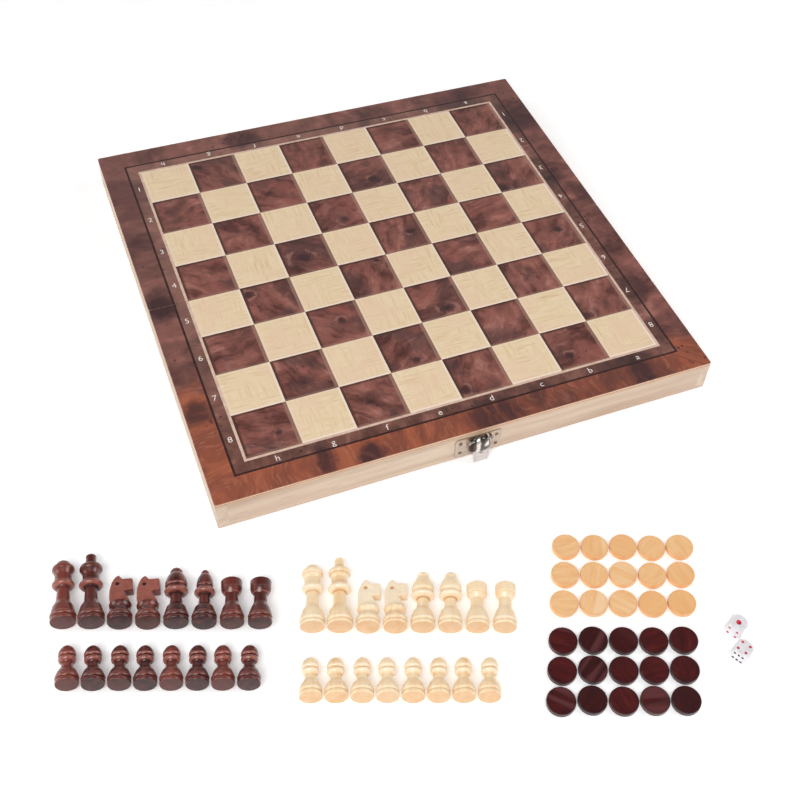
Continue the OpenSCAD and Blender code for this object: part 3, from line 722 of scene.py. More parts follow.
def chess_sheet(side, word):
    """Half the board's print. side is 1 for the rear sheet and -1 for the front one."""
    work = Work()

    def flat(points, finish):
        lay_flat(work, points, side, SHEET_FACE, 1, finish, **PLAIN)

    for column in range(1, 9):
        for step in range(4):
            square_face(work, side, column, step)
    frames = [LINE_IN, BAND_IN, RULE_IN, BORDER_IN]
    for inner, outer, finish in zip(frames, frames[1:], (LINE, BAND, RULE)):
        a, b = inner * SQUARE, outer * SQUARE
        for line in ((-b, BACK_Y, -a, b), (a, BACK_Y, b, b), (-a, a, a, b)):
            flat(oblong(*line), finish)

    # The border reaches the outline, less a small rounding, which rings of faces then take down
    a = BORDER_IN * SQUARE
    far = BOARD_W / 2 - SHEET_SOFT
    edge = sheet_outline(SHEET_SOFT)
    at_fold = edge[0][1]
    near_end = CORNER_STEPS + 1
    flat([(a, a), (a, at_fold)] + edge[:near_end] + [(far, a)], BORDER)
    flat([(a, a), (far, a)] + edge[near_end : 3 * near_end] + [(-far, a), (-a, a)], BORDER)
    flat([(-a, a), (-far, a)] + edge[3 * near_end :] + [(-a, at_fold)], BORDER)

    # Rounded edge, cut side and underside
    soft = SHEET_SOFT
    levels = [(soft, SHEET_FACE), (soft * 0.3, SHEET_FACE - soft * 0.3)]
    levels += [(0, SHEET_FACE - soft), (0, SHEET_LOW)]
    corners = [(x, y * side, z) for inset, z in levels for x, y in sheet_outline(inset)]
    count = len(edge)
    bottom = list(range(3 * count, 4 * count))
    faces = grid_faces(4, count, flip=side > 0) + [bottom[::-1] if side > 0 else bottom]
    work.add(corners, faces, None, [BORDER] * 2 * count + [CUT] * (count + 1), **PLAIN)

    for corners, triangles in board_letters(side):
        work.add(corners, triangles, None, LETTERS, **PLAIN)
    sheet = work.piece(word + "_chess_sheet", SHEET_FINISHES)
    stand_in(sheet, word + "_half", word + "_chess_print")


def glyph(letter):
    """A letter or number of the plain built-in face as (corners, triangles), its middle at the origin."""
    curve = bpy.data.curves.new("ink", "FONT")
    curve.body = letter
    curve.size = LETTER_H
    curve.resolution_u = 6
    curve.fill_mode = "FRONT"
    holder = bpy.data.objects.new("ink", curve)
    bpy.context.scene.collection.objects.link(holder)
    graph = bpy.context.evaluated_depsgraph_get()
    mesh = bpy.data.meshes.new_from_object(holder.evaluated_get(graph))
    corners = [(v.co.x, v.co.y) for v in mesh.vertices]
    faces = [list(p.vertices) for p in mesh.polygons]
    bpy.data.objects.remove(holder)
    bpy.data.curves.remove(curve)
    bpy.data.meshes.remove(mesh)
    middle = (min(x for x, y in corners) + max(x for x, y in corners)) / 2
    return [(x - middle, y) for x, y in corners], faces


def board_letters(side):
    """Flat pale letters and numbers on the band, those at the back and right upside down."""
    band_mid = (BAND_IN + RULE_IN) / 2 * SQUARE
    made = [(letter, (i - 3.5) * SQUARE, side * band_mid, -side) for i, letter in enumerate("hgfedcba")]
    for row in range(1, 9):
        y = (4.5 - row) * SQUARE
        if y * side > 0:
            made += [(str(row), -band_mid, y, 1), (str(row), band_mid, y, -1)]
    pieces = []
    for letter, x, y, way in made:
        corners, faces = glyph(letter)
        placed = [(x + way * cx, y + way * (cy - LETTER_MIDDLE * LETTER_H), INK_TOP) for cx, cy in corners]
        pieces.append((placed, faces))
    return pieces


# ---- The backgammon table inside ----

POINTS = 6
POINT_LEN = 124
POINT_SHARE = 0.86
POINT_LINE = 0.9
TABLE_FACE = TABLE_TOP + 0.02
# How much shorter a point's colour is than its outline, as a share of its length
POINT_SHORTER = 0.075
FRAME_W = 2.4
FRAME_LINE = 0.7
# The inks lie over each other, each a hair further down
FRAME_DEPTH = 0.004
OUTLINE_DEPTH = 0.006
COLOUR_DEPTH = 0.012
GROUND, PALE_POINT, DARK_POINT, TABLE_LINE = range(4)


def backgammon_sheet(side, word):
    """Six points from each end of the tray, seen from below when the box lies open as a chess board."""
    work = Work()

    def flat(points, finish, depth=0.0):
        lay_flat(work, points, side, TABLE_FACE - depth, -1, finish)

    half = BOARD_W / 2 - RAIL_T
    ground = oblong(-half, BACK_Y + RAIL_T, half, half)
    flat(ground, GROUND)
    x, low, high = half - FRAME_W, BACK_Y + RAIL_T + FRAME_W, half - FRAME_W
    in_x, in_low, in_high = x - FRAME_LINE, low + FRAME_LINE, high - FRAME_LINE
    for line in (
        (-x, low, x, in_low), (-x, in_high, x, high), (-x, in_low, -in_x, in_high), (in_x, in_low, x, in_high)
    ):
        flat(oblong(*line), TABLE_LINE, FRAME_DEPTH)
    pitch = (in_high - in_low) / POINTS
    for end in (-1, 1):
        root = end * in_x
        for i in range(POINTS):
            middle = in_low + (i + 0.5) * pitch
            wide = pitch * POINT_SHARE / 2
            tip = root - end * POINT_LEN
            flat([(root, middle - wide), (root, middle + wide), (tip, middle)], TABLE_LINE, OUTLINE_DEPTH)
            wide -= POINT_LINE
            tip += end * POINT_LEN * POINT_SHORTER
            finish = PALE_POINT if (i + (end > 0)) % 2 else DARK_POINT
            flat([(root, middle - wide), (root, middle + wide), (tip, middle)], finish, COLOUR_DEPTH)

    # The sheet's own thickness, up to the panel
    corners = [(x, y * side, z) for z in (TABLE_FACE, PANEL_LOW) for x, y in ground]
    faces = grid_faces(2, 4) + [[4, 5, 6, 7]]
    work.add(corners, faces if side > 0 else [face[::-1] for face in faces], None, GROUND)
    sheet = work.piece(word + "_backgammon_sheet", TABLE_FINISHES)
    stand_in(sheet, word + "_half", word + "_backgammon_print")


# ---- Chessmen. The turns are those of the CAD model, with finer curves and softened arrises ----

FOOT_INSET = 0.5
FOOT_H = 5.5
RING_Z = 3.9
RING_H = 2.8
SPOKES = 72
# Keeps a finer circle inside the CAD one
HAIR = 0.998
# Faces that meet at fewer degrees than this are shaded as one curve
SMOOTH_UNDER = 34
# The turned foot's underside takes less lacquer and is darkened by painted shade
FOOT_MARK = 0.45
MAN_ARRIS = 0.22
# A point is compared with the side this far up and down, and so deep a groove counts in full
HOLLOW_REACH = 1.3
HOLLOW_FULL = 0.9
# Sides that bend by fewer degrees than this have no arris
ARRIS_BEND = 16
BOW_STEPS = 18

# A turn is its height, before all are stretched to the man's height, then the radius at its end and how
# far it swells, both as shares of his base's radius
KING = [
    (4.6, 0.78, 0.01), (3.4, 0.53, 0), (8.6, 0.46, -0.01), (0.7, 0.58, 0), (3.2, 0.68, 0.25),
    (1.6, 0.62, 0.07), (3.6, 0.62, 0), (3.6, 0.83, -0.02), (2.2, 0.8, 0.04), (2.2, 0.42, 0.05),
    (4.9, 0.39, -0.01), (1.5, 0.24, 0.05),
]
QUEEN = [
    (4.6, 0.79, 0.01), (3.2, 0.56, 0), (8.7, 0.47, -0.01), (0.8, 0.57, 0), (3.2, 0.68, 0.23),
    (1.6, 0.65, 0.05), (3.5, 0.66, 0), (3.4, 0.84, -0.01), (2, 0.82, 0.03), (1.3, 0.56, 0.02),
    (2.9, 0.3, 0.1),
]
BISHOP = [
    (4.2, 0.77, 0.01), (2.2, 0.55, 0), (6.2, 0.46, -0.02), (0.8, 0.7, 0), (2.6, 0.82, 0.17),
    (1.6, 0.78, 0.01), (9.5, 0.42, 0.23), (3.2, 0.25, 0.14),
]
SLIM_BISHOP = [
    (4, 0.77, 0.01), (2.2, 0.52, 0), (6.4, 0.42, -0.02), (0.8, 0.6, 0), (2.8, 0.66, 0.2), (2, 0.58, 0.01),
    (9.2, 0.32, 0.18), (2.9, 0.16, 0.08),
]
ROOK = [
    (4.2, 0.77, 0.01), (3, 0.58, 0), (5.6, 0.53, -0.01), (2.9, 0.81, 0.03), (0.5, 0.77, 0), (0.4, 0.85, 0),
    (5.2, 0.88, 0.01), (0.5, 0.8, 0),
]
PAWN = [
    (3, 0.75, 0.02), (1.7, 0.56, 0), (3.4, 0.44, -0.01), (0.5, 0.5, 0), (2.7, 0.6, 0.18), (0.4, 0.56, 0),
    (7.2, 0.2, 0.33),
]
KNIGHT_STAND = [(3.4, 0.76, -0.04), (2.8, 0.89, 0.03)]
KNIGHT_STAND_H = 11.7
KNIGHT_H = 30.9
KNIGHT_T = 6.5

# Each man's height, the width of his base and his turns
MEN = {
    "king": (45.6, 15.2, KING),
    "queen": (40.7, 14.7, QUEEN),
    "bishop": (35.8, 14.4, BISHOP),
    "slim_bishop": (35.8, 14.4, SLIM_BISHOP),
    "rook": (27.8, 14, ROOK),
    "pawn": (24.4, 13.1, PAWN),
    "knight": (KNIGHT_STAND_H, 14.2, KNIGHT_STAND),
}


def man_side(kind, steps):
    """A man's side as (radius, height) from the foot up, in that many steps to a bow."""
    height, base, above = MEN[kind]
    r = base / 2
    stretch = (height - FOOT_H) / sum(turn[0] for turn in above)
    turns = [(2.1, r - FOOT_INSET, 0.4), (0.4, r - 0.8, 0), (RING_H, r - 0.75, 0.75), (0.2, r - 0.5, 0)]
    turns += [(h * stretch, end * r, swell * r) for h, end, swell in above]
    side = [(r - FOOT_INSET, 0.0)]
    for h, end, swell in turns:
        start_r, start_z = side[-1]
        if swell == 0:
            side.append((end, start_z + h))
            continue
        for s in range(1, steps + 1):
            a = math.pi * s / steps
            up = (1 - math.cos(a)) / 2
            side.append((start_r + (end - start_r) * up + swell * math.sin(a), start_z + h * up))
    return side


def softened(side, cut):
    """The same side with each arris rounded off over a short length either way."""
    made = [side[0]]
    for before, at, after in zip(side, side[1:], side[2:]):
        back, ahead = math.dist(before, at), math.dist(at, after)
        if min(back, ahead) < 1e-6:
            continue
        cosine = sum((p - q) * (s - p) for p, q, s in zip(at, before, after)) / back / ahead
        if cosine > math.cos(math.radians(ARRIS_BEND)):
            made.append(at)
        else:
            made += rounded_corner(before, at, after, cut, 4)
    return made + [side[-1]]


def hollows(side):
    """How far each point lies in a groove (over 0) or stands out (under 0), against the side around it."""
    made = []
    for radius, height in side:
        near = [r for r, z in side if abs(z - height) <= HOLLOW_REACH]
        made.append(max(-1.0, min(1.0, (sum(near) / len(near) - radius) / HOLLOW_FULL)))
    return made


def lathed(side, tint_marks):
    """(corners, faces, marks) of a turned shape closed at both ends."""
    corners, marks = [], []
    for (radius, height), mark in zip(side, tint_marks):
        corners += [(*on_circle(radius * HAIR, 360 * s / SPOKES), height) for s in range(SPOKES)]
        marks += [mark] * SPOKES
    top = (len(side) - 1) * SPOKES
    foot, tip = len(corners), len(corners) + 1
    corners += [(0, 0, side[0][1]), (0, 0, side[-1][1])]
    faces = grid_faces(len(side), SPOKES)
    for s in range(SPOKES):
        t = (s + 1) % SPOKES
        faces += [[foot, t, s], [tip, top + s, top + t]]
    return corners, faces, marks + [tint_marks[0], tint_marks[-1]]


def dip(kind):
    """How far a man's head dips when he lies on his foot's ring and on the widest part above it."""
    base = MEN[kind][1]
    slopes = [(base / 2 - r) / (z - RING_Z) for r, z in man_side(kind, 6)[1:] if z > RING_Z + RING_H]
    return math.atan(min(slopes))


def turned_about(axis, degrees):
    return Matrix.Rotation(math.radians(degrees), 4, axis)


def lying(kind, place, heading):
    """Where a man lies on the table, his foot at place and his head away from the players."""
    tilt = dip(kind)
    base = MEN[kind][1]
    up = FLOOR_Z + RING_Z * math.sin(tilt) + base / 2 * math.cos(tilt)
    move = Matrix.Translation((*place, up))
    return move @ turned_about("Z", heading - 90) @ turned_about("X", -90 - math.degrees(tilt))


def add_turned_man(work, kind, place, number):
    side = softened(man_side(kind, BOW_STEPS), MAN_ARRIS)
    # Marks for painted shade in the grooves and under the foot, and for painted highlights on the rings
    tint_marks = [FOOT_MARK] + hollows(side)[1:]
    corners, faces, marks = lathed(side, tint_marks)
    work.add_own(corners, faces, place, number, marks)


def head_outline():
    """The horse's head from the side, as (forwards, up)."""
    neck = KNIGHT_STAND_H - 0.4
    poll = KNIGHT_H - 1.4
    return [
        (-5.2, neck), (5.2, neck), (5.6, neck + 1.6), (2.2, neck + 8), (3, neck + 8.9), (6.7, neck + 8.9),
        (7.1, neck + 9.6), (7, poll - 2.2), (6.2, poll - 1.3), (0.9, poll - 1.2), (0.2, poll),
        (-0.7, KNIGHT_H - 0.2), (-1.7, KNIGHT_H), (-3.4, poll), (-5, poll - 3.4), (-5.9, poll - 8),
        (-6, neck + 4),
    ]


def neighbours(ring):
    """Each point of a closed outline with the one before and the one after it."""
    return zip(ring[-1:] + ring[:-1], ring, ring[1:] + ring[:1])


def inset_ring(ring, by):
    """The outline moved inwards, for an arris."""
    made = []
    for before, at, after in neighbours(ring):
        way = (Vector(after) - Vector(before)).normalized()
        made.append((at[0] - way.y * by, at[1] + way.x * by))
    return made


EYE = (-1.6, 25.0)
EYE_R = 1.25
EYE_DEPTH = 0.55
EYE_STEPS = 24
# The drilled eye from its rim inwards: share of its radius, share of its depth, and its mark for the finish:
# under 0 a painted highlight on the rim, over 0 painted shade inside
EYE_DISH = [(1.0, 0.0, -0.6), (0.88, 0.12, 0.6), (0.6, 0.75, 1.0), (0.0, 1.0, 0.5)]
HEAD_ARRIS = 0.5
HEAD_CORNER = 0.9
# Marks for painted highlights on the head's flat sides and, stronger, on its arrises
FLAT_HIGHLIGHT_MARK = -0.3
ARRIS_HIGHLIGHT_MARK = -0.7


def add_knight_head(work, place, number):
    """A horse's head sawn from flat wood, its arrises rubbed down and an eye drilled in each side."""
    ring = []
    for before, at, after in neighbours(head_outline()):
        ring += rounded_corner(before, at, after, HEAD_CORNER, 5)
    half = KNIGHT_T / 2
    levels = [(half, HEAD_ARRIS), (half - HEAD_ARRIS * 0.3, HEAD_ARRIS * 0.3), (half - HEAD_ARRIS, 0.0)]
    layers = [(-h, inset) for h, inset in levels] + [(h, inset) for h, inset in reversed(levels)]
    count = len(ring)
    corners, marks = [], []
    for depth, inset in layers:
        corners += [(x, depth, z) for x, z in inset_ring(ring, inset)]
        marks += [ARRIS_HIGHLIGHT_MARK if inset else FLAT_HIGHLIGHT_MARK] * count
    faces = grid_faces(len(layers), count)
    for way, level in ((-1, 0), (1, len(layers) - 1)):
        first = len(corners)
        for share, sink, mark in EYE_DISH:
            for s in range(EYE_STEPS if share else 1):
                x, z = on_circle(share * EYE_R, 360 * s / EYE_STEPS, EYE)
                corners.append((x, way * (half - sink * EYE_DEPTH), z))
                marks.append(mark)
        outline = [level * count + i for i in range(count)]
        rim = [first + i for i in range(EYE_STEPS)]
        names = outline + rim
        loops = [[Vector((corners[n][0], corners[n][2], 0)) for n in loop] for loop in (outline, rim)]
        for triangle in tessellate_polygon(loops):
            face = [names[n] for n in triangle]
            p, q, r = (corners[n] for n in face)
            turn = (q[0] - p[0]) * (r[2] - p[2]) - (q[2] - p[2]) * (r[0] - p[0])
            faces.append(face if (turn > 0) == (way < 0) else face[::-1])
        faces += grid_faces(3, EYE_STEPS, first=first, flip=way > 0)
        last = first + 2 * EYE_STEPS
        for s in range(EYE_STEPS):
            face = [last + s, last + (s + 1) % EYE_STEPS, last + EYE_STEPS]
            faces.append(face if way < 0 else face[::-1])
    work.add_own(corners, faces, place, number, marks)


ROW_ANGLE = math.radians(-20.6)
OFFICER_PITCH = 15.6
PAWN_PITCH = 13.9
SIDES_APART = 29.5
OFFICERS = ["queen", "king", "knight_1", "knight_2", "bishop_1", "bishop_2", "rook_1", "rook_2"]
# The heading of a man in the middle of the table, how much less it is per millimetre to the right, how
# far right each man lies of the one before, and how far askew, in degrees
HEADING = 63.8
FAN = 0.059
STEP_RIGHT = 14.6
ASKEW = 0.9


def place_from(start, along, nearer=0.0):
    """A place some way along the rows from a start, and some way nearer the players."""
    x = start[0] + along * math.cos(ROW_ANGLE) + nearer * math.sin(ROW_ANGLE)
    y = start[1] + along * math.sin(ROW_ANGLE) - nearer * math.cos(ROW_ANGLE)
    return (x, y)


def heading_at(i, row):
    """Which way a man of a row points, in degrees. They fan out, and each lies a little askew."""
    askew = ASKEW * math.sin(math.radians(137 * i))
    return HEADING - FAN * (row[0] + i * STEP_RIGHT) + askew


DARK_OFFICERS = (-267.5, -205.5)
DARK_PAWNS = place_from(DARK_OFFICERS, 8.7, 37.3)
PALE_OFFICERS = place_from(DARK_OFFICERS, 7 * OFFICER_PITCH + SIDES_APART, 2.4)
PALE_PAWNS = place_from(PALE_OFFICERS, 1, 42.4)


def lay_men(colour, officers, pawns, finish, first_number, second_bishop):
    for i, name in enumerate(OFFICERS):
        kind = second_bishop if name == "bishop_2" else name.split("_")[0]
        work = Work()
        place = lying(kind, place_from(officers, i * OFFICER_PITCH), heading_at(i, officers))
        add_turned_man(work, kind, place, first_number + i)
        if kind == "knight":
            add_knight_head(work, place, first_number + i)
        man = work.piece(f"turned_{colour}_{name}", [finish], SMOOTH_UNDER)
        stand_in(man, f"{colour}_{name}", f"{colour}_{name}")
    work = Work()
    for i in range(8):
        place = lying("pawn", place_from(pawns, i * PAWN_PITCH), heading_at(i, pawns))
        add_turned_man(work, "pawn", place, first_number + 8 + i)
    row = work.piece(f"turned_{colour}_pawns", [finish], SMOOTH_UNDER)
    stand_in(row, colour + "_pawns", colour + "_pawns")


# ---- Draughts ----

DISC_R = 8.4
DISC_T = 3.8
DISC_EDGE = 0.4
DISC_PITCH = 17.5
PALE_ROW_PITCH = 19.6
DARK_ROW_PITCH = 18.6
DARK_ROWS_AWAY = 63.7
COLUMN_ANGLE = 242.5
DISC_CORNER = place_from(PALE_OFFICERS, 7 * OFFICER_PITCH + 41.1, -57.6)


def disc_side():
    """Side of a draughtsman: a slightly barrelled rim between two softened edges, very slightly dished."""
    barrel = DISC_R - 0.02
    low, high = DISC_EDGE, DISC_T - DISC_EDGE
    flat_r = DISC_R - DISC_EDGE
    rim = [(flat_r, 0), (barrel, low), (DISC_R, DISC_T / 2), (barrel, high), (flat_r, DISC_T)]
    dish = [(DISC_R - 0.9, DISC_T - 0.02), (DISC_R * 0.7, DISC_T - 0.05), (DISC_R * 0.35, DISC_T - 0.07)]
    return softened(rim, 0.3) + dish


def lay_discs(colour, row, away, finish, first_number):
    work = Work()
    side = disc_side()
    tint_marks = [1.0 if r > DISC_R - 0.7 else 0.35 if r > DISC_R - 1.2 else 0.0 for r, z in side]
    corners, faces, marks = lathed(side, tint_marks)
    start = on_circle(away, COLUMN_ANGLE, DISC_CORNER)
    for i in range(5):
        x, y = place_from(start, i * DISC_PITCH, 0.4 * math.sin(math.radians(151 * i + away)))
        number = first_number + i
        place = Matrix.Translation((x, y, FLOOR_Z)) @ turned_about("Z", 71 * number)
        work.add_own(corners, faces, place, number, marks)
    discs = work.piece(f"turned_{colour}_draughts_{row}", [finish], SMOOTH_UNDER)
    node = f"{colour}_draughts_row_{row}"
    stand_in(discs, node, node)


# ---- Dice ----

DIE_W = 10
DIE_HEADING = 28
PIP_R = 0.85
# Where each die lies and how far it has rolled
DIE_PLACES = {
    "one": (place_from(DISC_CORNER, 94.2, 55.5), 0),
    "four": (place_from(DISC_CORNER, 94.3, 71.5), 90),
}
WHITE, RED_INK, BLACK_INK = range(3)


def mould_die(name, place, roll, finishes):
    """A die with the CAD die's own dished pips, coloured as inked pips are: the one and the four red."""
    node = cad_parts["die_showing_" + name]
    at = Matrix.Translation((*place, FLOOR_Z + DIE_W / 2))
    at = at @ turned_about("Z", DIE_HEADING) @ turned_about("Y", roll)
    corners = [v.co / MM for v in node.data.vertices]
    own = [at.inverted() @ c for c in corners]
    faces = [list(p.vertices) for p in node.data.polygons]
    picks = []
    for face in faces:
        middle = sum((own[i] for i in face), Vector()) / len(face)
        axis = max(range(3), key=lambda n: abs(middle[n]))
        depth = DIE_W / 2 - abs(middle[axis])
        reach = max(abs(middle[n]) for n in range(3) if n != axis)
        in_pip = depth > 0.004 and reach < DIE_W / 4 + PIP_R * 1.05
        red = (axis == 2 and middle.z > 0) or (axis == 0 and middle.x < 0)
        ink = RED_INK if red else BLACK_INK
        picks.append(ink if in_pip else WHITE)
    work = Work()
    work.add(corners, faces, None, picks, own_place=[tuple(c * MM) for c in own])
    die = work.piece("moulded_die_" + name, finishes)
    die.data.polygons.foreach_set("use_smooth", [p.use_smooth for p in node.data.polygons])
    stand_in(die, "die_showing_" + name, "die_showing_" + name)


# ---- The CAD pieces that stay: welded, with softened arrises ----

WELD_REACH = 0.000002
# Edges that turn by fewer degrees than this keep their shape
ARRIS_ANGLE = 50
OUTER_ARRIS = 0.35
INNER_ARRIS = 0.2
PLATE_ARRIS = 0.12
LEAF_ARRIS = 0.08


def soften_arrises(piece, width, segments):
    bevel = piece.modifiers.new("arris", "BEVEL")
    bevel.width = width * MM
    bevel.segments = segments
    bevel.limit_method = "ANGLE"
    bevel.angle_limit = math.radians(ARRIS_ANGLE)
    return bevel


def dress(node, finish, arris=0):
    """A finish for a CAD piece, and an arris of that width."""
    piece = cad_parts[node]
    piece.data.materials.clear()
    piece.data.materials.append(finish)
    weld = piece.modifiers.new("weld", "WELD")
    weld.merge_threshold = WELD_REACH
    if arris:
        soften_arrises(piece, arris, 3).harden_normals = True


# ---- The clasp's lever: a pressed dome over the pin, and the bill below it that hooks the catch ----

# Heights, and how far out from the wall
LEVER_W = 14.4
LEVER_METAL = 0.6
LEVER_ARRIS = 0.14
PIN_Z = 17.6
PIN_OUT = 3.6
# The head turns close to the plate, so above the pin it stays within this radius of it
HEAD_R = 2.5
DOME_OUT = 6.9
DOME_Z = 12.5
DOME_RISE = 7.75
CHEEK_BACK = 1.35
LIP = [(11.6, 6.86), (10.7, 6.74), (9.9, 6.5), (9.4, 6.2)]
SKIRT_BACK = 3.6
SKIRT_Z = 9.1
DOME_ROWS = 22
DOME_COLUMNS = 36
# How full the dome's curves are, from its middle down and from side to side
DOME_FALL = 0.9
DOME_BULGE = 2.4
# The bill from its root down to its hook: how far out, its height and half its width
BILL = [
    (6.0, 10.3, 5.6), (6.16, 8.5, 5.5), (6.2, 7.6, 5.45), (6.34, 5.6, 5.3), (6.48, 3.2, 5.1),
    (6.58, 1.2, 4.9), (6.6, 0.1, 4.6), (6.5, -0.35, 4.3), (6.2, -0.52, 4.1), (5.6, -0.62, 3.9),
    (4.3, -0.8, 3.8),
]
BILL_COLUMNS = 6
# Where the columns between the slot and the bill's side are, as a share of its half width
BILL_BEND = 0.8
SLOT_HALF = 1.2
# The slot is the gap left by one face, the third across in the second row
SLOT_FACE = (BILL_COLUMNS - 1) + 2


def cheek_back(z):
    """How far out the dome's open back is at a height."""
    if z > PIN_Z:
        round_head = PIN_OUT - math.sqrt(max(0.0, HEAD_R**2 - (z - PIN_Z) ** 2))
        return max(CHEEK_BACK, round_head)
    return CHEEK_BACK + (SKIRT_BACK - CHEEK_BACK) * (PIN_Z - z) / (PIN_Z - SKIRT_Z)


def dome_rows():
    """(height, how far out the middle is) from the top down to the lip."""
    rows = []
    for i in range(DOME_ROWS + 1):
        turn = math.pi / 2 * i / DOME_ROWS
        z = DOME_Z + (PIN_Z + HEAD_R - DOME_Z) * math.cos(turn)
        rows.append((z, PIN_OUT + (DOME_OUT - PIN_OUT) * math.sin(turn) ** DOME_FALL))
    # The topmost row is the straight edge of the open back
    rows[0] = (rows[0][0], cheek_back(rows[1][0]) - 0.1)
    return rows + LIP


def press_lever(finishes):
    """Two skins of sheet metal, thickened inwards. They stand on the wall that faces -Y."""
    work = Work()
    wall = -BOARD_W / 2
    rows = dome_rows()
    corners = []
    for z, out in rows:
        half = LEVER_W / 2 * math.sqrt(1 - ((max(z, DOME_Z) - DOME_Z) / DOME_RISE) ** 2)
        back = min(cheek_back(z), out)
        for c in range(DOME_COLUMNS + 1):
            across = math.sin(math.pi * (c / DOME_COLUMNS - 0.5))
            bulge = math.sqrt(1 - abs(across) ** DOME_BULGE)
            corners.append((half * across, wall - back - (out - back) * bulge, z))
    work.add(corners, grid_faces(len(rows), DOME_COLUMNS + 1, closed=False, flip=True), None, 0)

    corners = []
    for out, z, half in BILL:
        for x in (-half, -half * BILL_BEND, -SLOT_HALF, SLOT_HALF, half * BILL_BEND, half):
            corners.append((x, wall - out, z))
    faces = grid_faces(len(BILL), BILL_COLUMNS, closed=False, flip=True)
    del faces[SLOT_FACE]
    work.add(corners, faces, None, 1)
    lever = work.piece("pressed_clasp_lever", finishes, SMOOTH_UNDER)
    metal = lever.modifiers.new("metal", "SOLIDIFY")
    metal.thickness = LEVER_METAL * MM
    metal.offset = -1
    soften_arrises(lever, LEVER_ARRIS, 2)
    stand_in(lever, "clasp_lever", "clasp_lever")


# ---- Making every piece ----

BAND_TONES = tints((66, 42, 40), (88, 58, 52), (110, 73, 64), (134, 90, 80), (164, 116, 104))
BORDER_TONES = tints((74, 42, 40), (98, 59, 54), (118, 74, 67), (136, 85, 77), (162, 106, 94))
GROUND_TONES = tints((96, 58, 42), (122, 76, 54), (142, 92, 66), (160, 108, 78), (182, 130, 96))
PALE_TONES = tints((190, 152, 112), (212, 178, 136), (224, 194, 154), (234, 208, 172), (242, 220, 190))
DARK_TONES = tints((46, 24, 24), (66, 34, 32), (84, 44, 40), (104, 56, 50), (126, 74, 64))
CREAM_TONES = tints((206, 170, 148), (230, 202, 184))
RULE_TONES = tints((34, 20, 20), (66, 38, 36))
SHEET_FINISHES = [
    light_square(),
    dark_square(),
    printed_ink("cream_line_print", 260, CREAM_TONES, 0.32),
    border_burl("band_burl", 0.2, 0.42, BAND_TONES, tint(136, 84, 66), tint(64, 46, 48)),
    printed_ink("fine_line_print", 300, RULE_TONES, 0.3),
    border_burl("border_burl", 1.0, 0.16, BORDER_TONES, tint(172, 92, 62), tint(72, 46, 48)),
    sheet_edge(),
    letter_print(),
]
TABLE_FINISHES = [
    table_print("table_ground", 1.5, GROUND_TONES),
    table_print("table_pale_point", 6.5, PALE_TONES),
    table_print("table_dark_point", 11.5, DARK_TONES),
    letter_print(),
]
for lay_sheet in (chess_sheet, backgammon_sheet):
    lay_sheet(-1, "front")
    lay_sheet(1, "rear")

dark_tones = tints((38, 9, 9), (64, 19, 17), (92, 35, 30), (146, 68, 52))
pale_tones = tints((236, 192, 140), (247, 212, 165), (252, 226, 186), (254, 235, 202))
dark_turned = turned_wood("dark_turned_wood", dark_tones, tint(24, 6, 7), tint(176, 106, 92))
pale_turned = turned_wood("pale_turned_wood", pale_tones, tint(206, 148, 94), tint(254, 240, 216))
lay_men("dark", DARK_OFFICERS, DARK_PAWNS, dark_turned, 3, "slim_bishop")
lay_men("pale", PALE_OFFICERS, PALE_PAWNS, pale_turned, 27, "bishop")

dark_tones = tints((44, 4, 6), (72, 12, 13), (102, 28, 27))
pale_tones = tints((232, 174, 116), (242, 192, 138), (248, 210, 164))
dark_disc = disc_wood("dark_disc_wood", dark_tones, tint(38, 6, 9), tint(108, 62, 64), 0.6)
pale_disc = disc_wood("pale_disc_wood", pale_tones, tint(236, 170, 104), tint(250, 218, 178), 0.45)
for row in (1, 2, 3):
    lay_discs("pale", row, (row - 1) * PALE_ROW_PITCH, pale_disc, row * 5)
    lay_discs("dark", row, DARK_ROWS_AWAY + (row - 1) * DARK_ROW_PITCH, dark_disc, 30 + row * 5)

die_finishes = [
    moulded_plastic("die_white", tints((224, 220, 224), (240, 238, 241)), 0.00002),
    moulded_plastic("die_red_ink", tints((186, 18, 52), (214, 34, 72)), 0.00003),
    moulded_plastic("die_black_ink", tints((24, 22, 26), (44, 40, 46)), 0.00003),
]
for name, (place, roll) in DIE_PLACES.items():
    mould_die(name, place, roll, die_finishes)

ALONG_X = (0.06, 1, 1)
along_x = rail_wood("rail_wood_along", 0)
along_y = rail_wood("rail_wood_end", 1)
ply = plywood()
plated = bright_metal("bright_plate", tint(214, 212, 208), tint(176, 172, 166), 0.13, ALONG_X)
clasp_metal = bright_metal("clasp_plate_metal", tint(196, 178, 162), tint(158, 138, 122), 0.26, ALONG_X)
bill_metal = bright_metal("bill_metal", tint(206, 197, 193), tint(170, 158, 152), 0.26, (1, 1, 0.1))
nail_metal = bright_metal("nail_metal", tint(132, 114, 100), tint(84, 66, 56), 0.2, (1, 1, 1))
steel = bright_metal("bright_pin", tint(200, 199, 197), tint(150, 147, 142), 0.2, (0.1, 1, 1))
for half in ("front", "rear"):
    dress(half + "_outer_rail", along_x, OUTER_ARRIS)
    dress(half + "_hinge_rail", along_x, INNER_ARRIS)
    dress(half + "_left_rail", along_y, OUTER_ARRIS)
    dress(half + "_right_rail", along_y, OUTER_ARRIS)
    dress(half + "_panel", ply, INNER_ARRIS)
    dress(half + "_hinge_screws", steel)
    for end in ("left", "right"):
        dress(f"{end}_hinge_{half}_leaf", plated, LEAF_ARRIS)
for node in ("left_hinge_pin", "right_hinge_pin", "clasp_pin"):
    dress(node, steel)
for name in ("clasp", "catch"):
    dress(name + "_nails", nail_metal)
    dress(name + "_plate", clasp_metal, PLATE_ARRIS)
press_lever([tarnished_dome(), bill_metal])


# ---- Table, light and camera ----

FLOOR_REACH = 4000


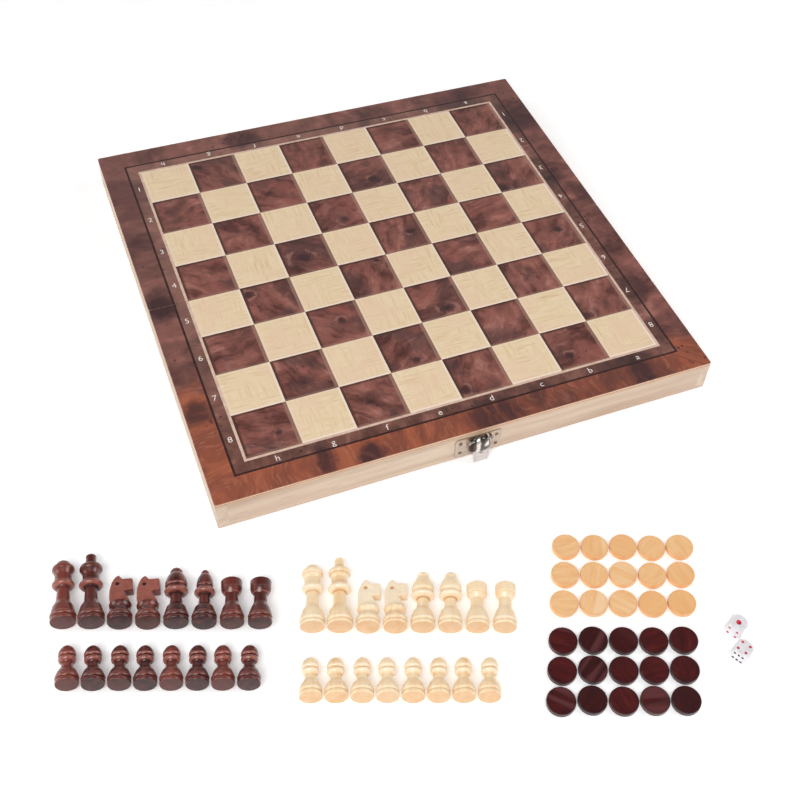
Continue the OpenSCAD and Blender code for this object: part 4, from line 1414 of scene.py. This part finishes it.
def studio_floor():
    f = Finish("studio_floor", {"Specular IOR Level": 0.1, "Emission Strength": 0.26})
    speck = f.noise(f.place(), 30, 3)
    f.colour = f.ramp(speck, (0.3, 0.7), tints((248, 248, 248), (251, 251, 251)))
    return f.done(0.6 + speck * 0.2, speck, 0.00005)


work = Work()
lay_flat(work, oblong(-FLOOR_REACH, -FLOOR_REACH, FLOOR_REACH, FLOOR_REACH), 1, FLOOR_Z, 1, 0)
floor = work.piece("studio_floor", [studio_floor()])


def softbox(name, place, target, width, height, watts):
    light = bpy.data.lights.new(name, "AREA")
    light.shape = "RECTANGLE"
    light.size = width
    light.size_y = height
    light.energy = watts
    box = bpy.data.objects.new(name, light)
    box.location = place
    box.rotation_euler = (Vector(target) - Vector(place)).to_track_quat("-Z", "Y").to_euler()
    bpy.context.scene.collection.objects.link(box)


softbox("key_softbox", (-0.9, -1.2, 1.5), (-0.05, -0.1, 0), 1.2, 1.2, 25)
softbox("fill_softbox", (1.4, -0.5, 1.2), (0, -0.1, 0), 0.9, 1.2, 11)
softbox("side_softbox", (-1.7, 0.5, 0.9), (0, 0, 0), 0.8, 1.2, 7)

# How bright the sky is at a height, from 0 at the horizon to 1 overhead
SKY_LEVELS = [(0.0, 0.6), (0.3, 0.5), (0.55, 0.28), (0.75, 0.12), (0.92, 0.12), (0.96, 0.7)]


def studio_sky():
    """Pale round the horizon and overhead, and darker between, for what polish and metal mirror."""
    sky = bpy.data.worlds.new("studio")
    sky.use_nodes = True
    nodes, links = sky.node_tree.nodes, sky.node_tree.links
    way = nodes.new("ShaderNodeTexCoord")
    axes = nodes.new("ShaderNodeSeparateXYZ")
    ramp = nodes.new("ShaderNodeValToRGB")
    lay_stops(ramp.color_ramp, [(at, (level * 0.99, level * 0.995, level, 1.0)) for at, level in SKY_LEVELS])
    links.new(way.outputs["Generated"], axes.inputs[0])
    links.new(axes.outputs["Z"], ramp.inputs[0])
    links.new(ramp.outputs["Color"], nodes["Background"].inputs["Color"])
    bpy.context.scene.world = sky


studio_sky()

CAMERA_PLACE = (-0.21857, -0.56964, 0.58956)
LOOKS_ALONG = Vector((0.280, 0.578, -0.767)).normalized()
NEARLY_RIGHT = Vector((0.9245, -0.3772, 0.0539)).normalized()
back = -LOOKS_ALONG
up = back.cross(NEARLY_RIGHT).normalized()
right = up.cross(back).normalized()
camera_data = bpy.data.cameras.new("camera")
camera_data.sensor_width = 36
camera_data.lens = 51.88
camera_data.shift_x = -0.057
camera_data.shift_y = 0.005
camera_data.clip_start = 0.01
camera = bpy.data.objects.new("camera", camera_data)
camera.matrix_world = Matrix.Translation(CAMERA_PLACE) @ Matrix((right, up, back)).transposed().to_4x4()
bpy.context.scene.collection.objects.link(camera)
bpy.context.scene.camera = camera
bpy.context.scene.view_settings.view_transform = "Standard"
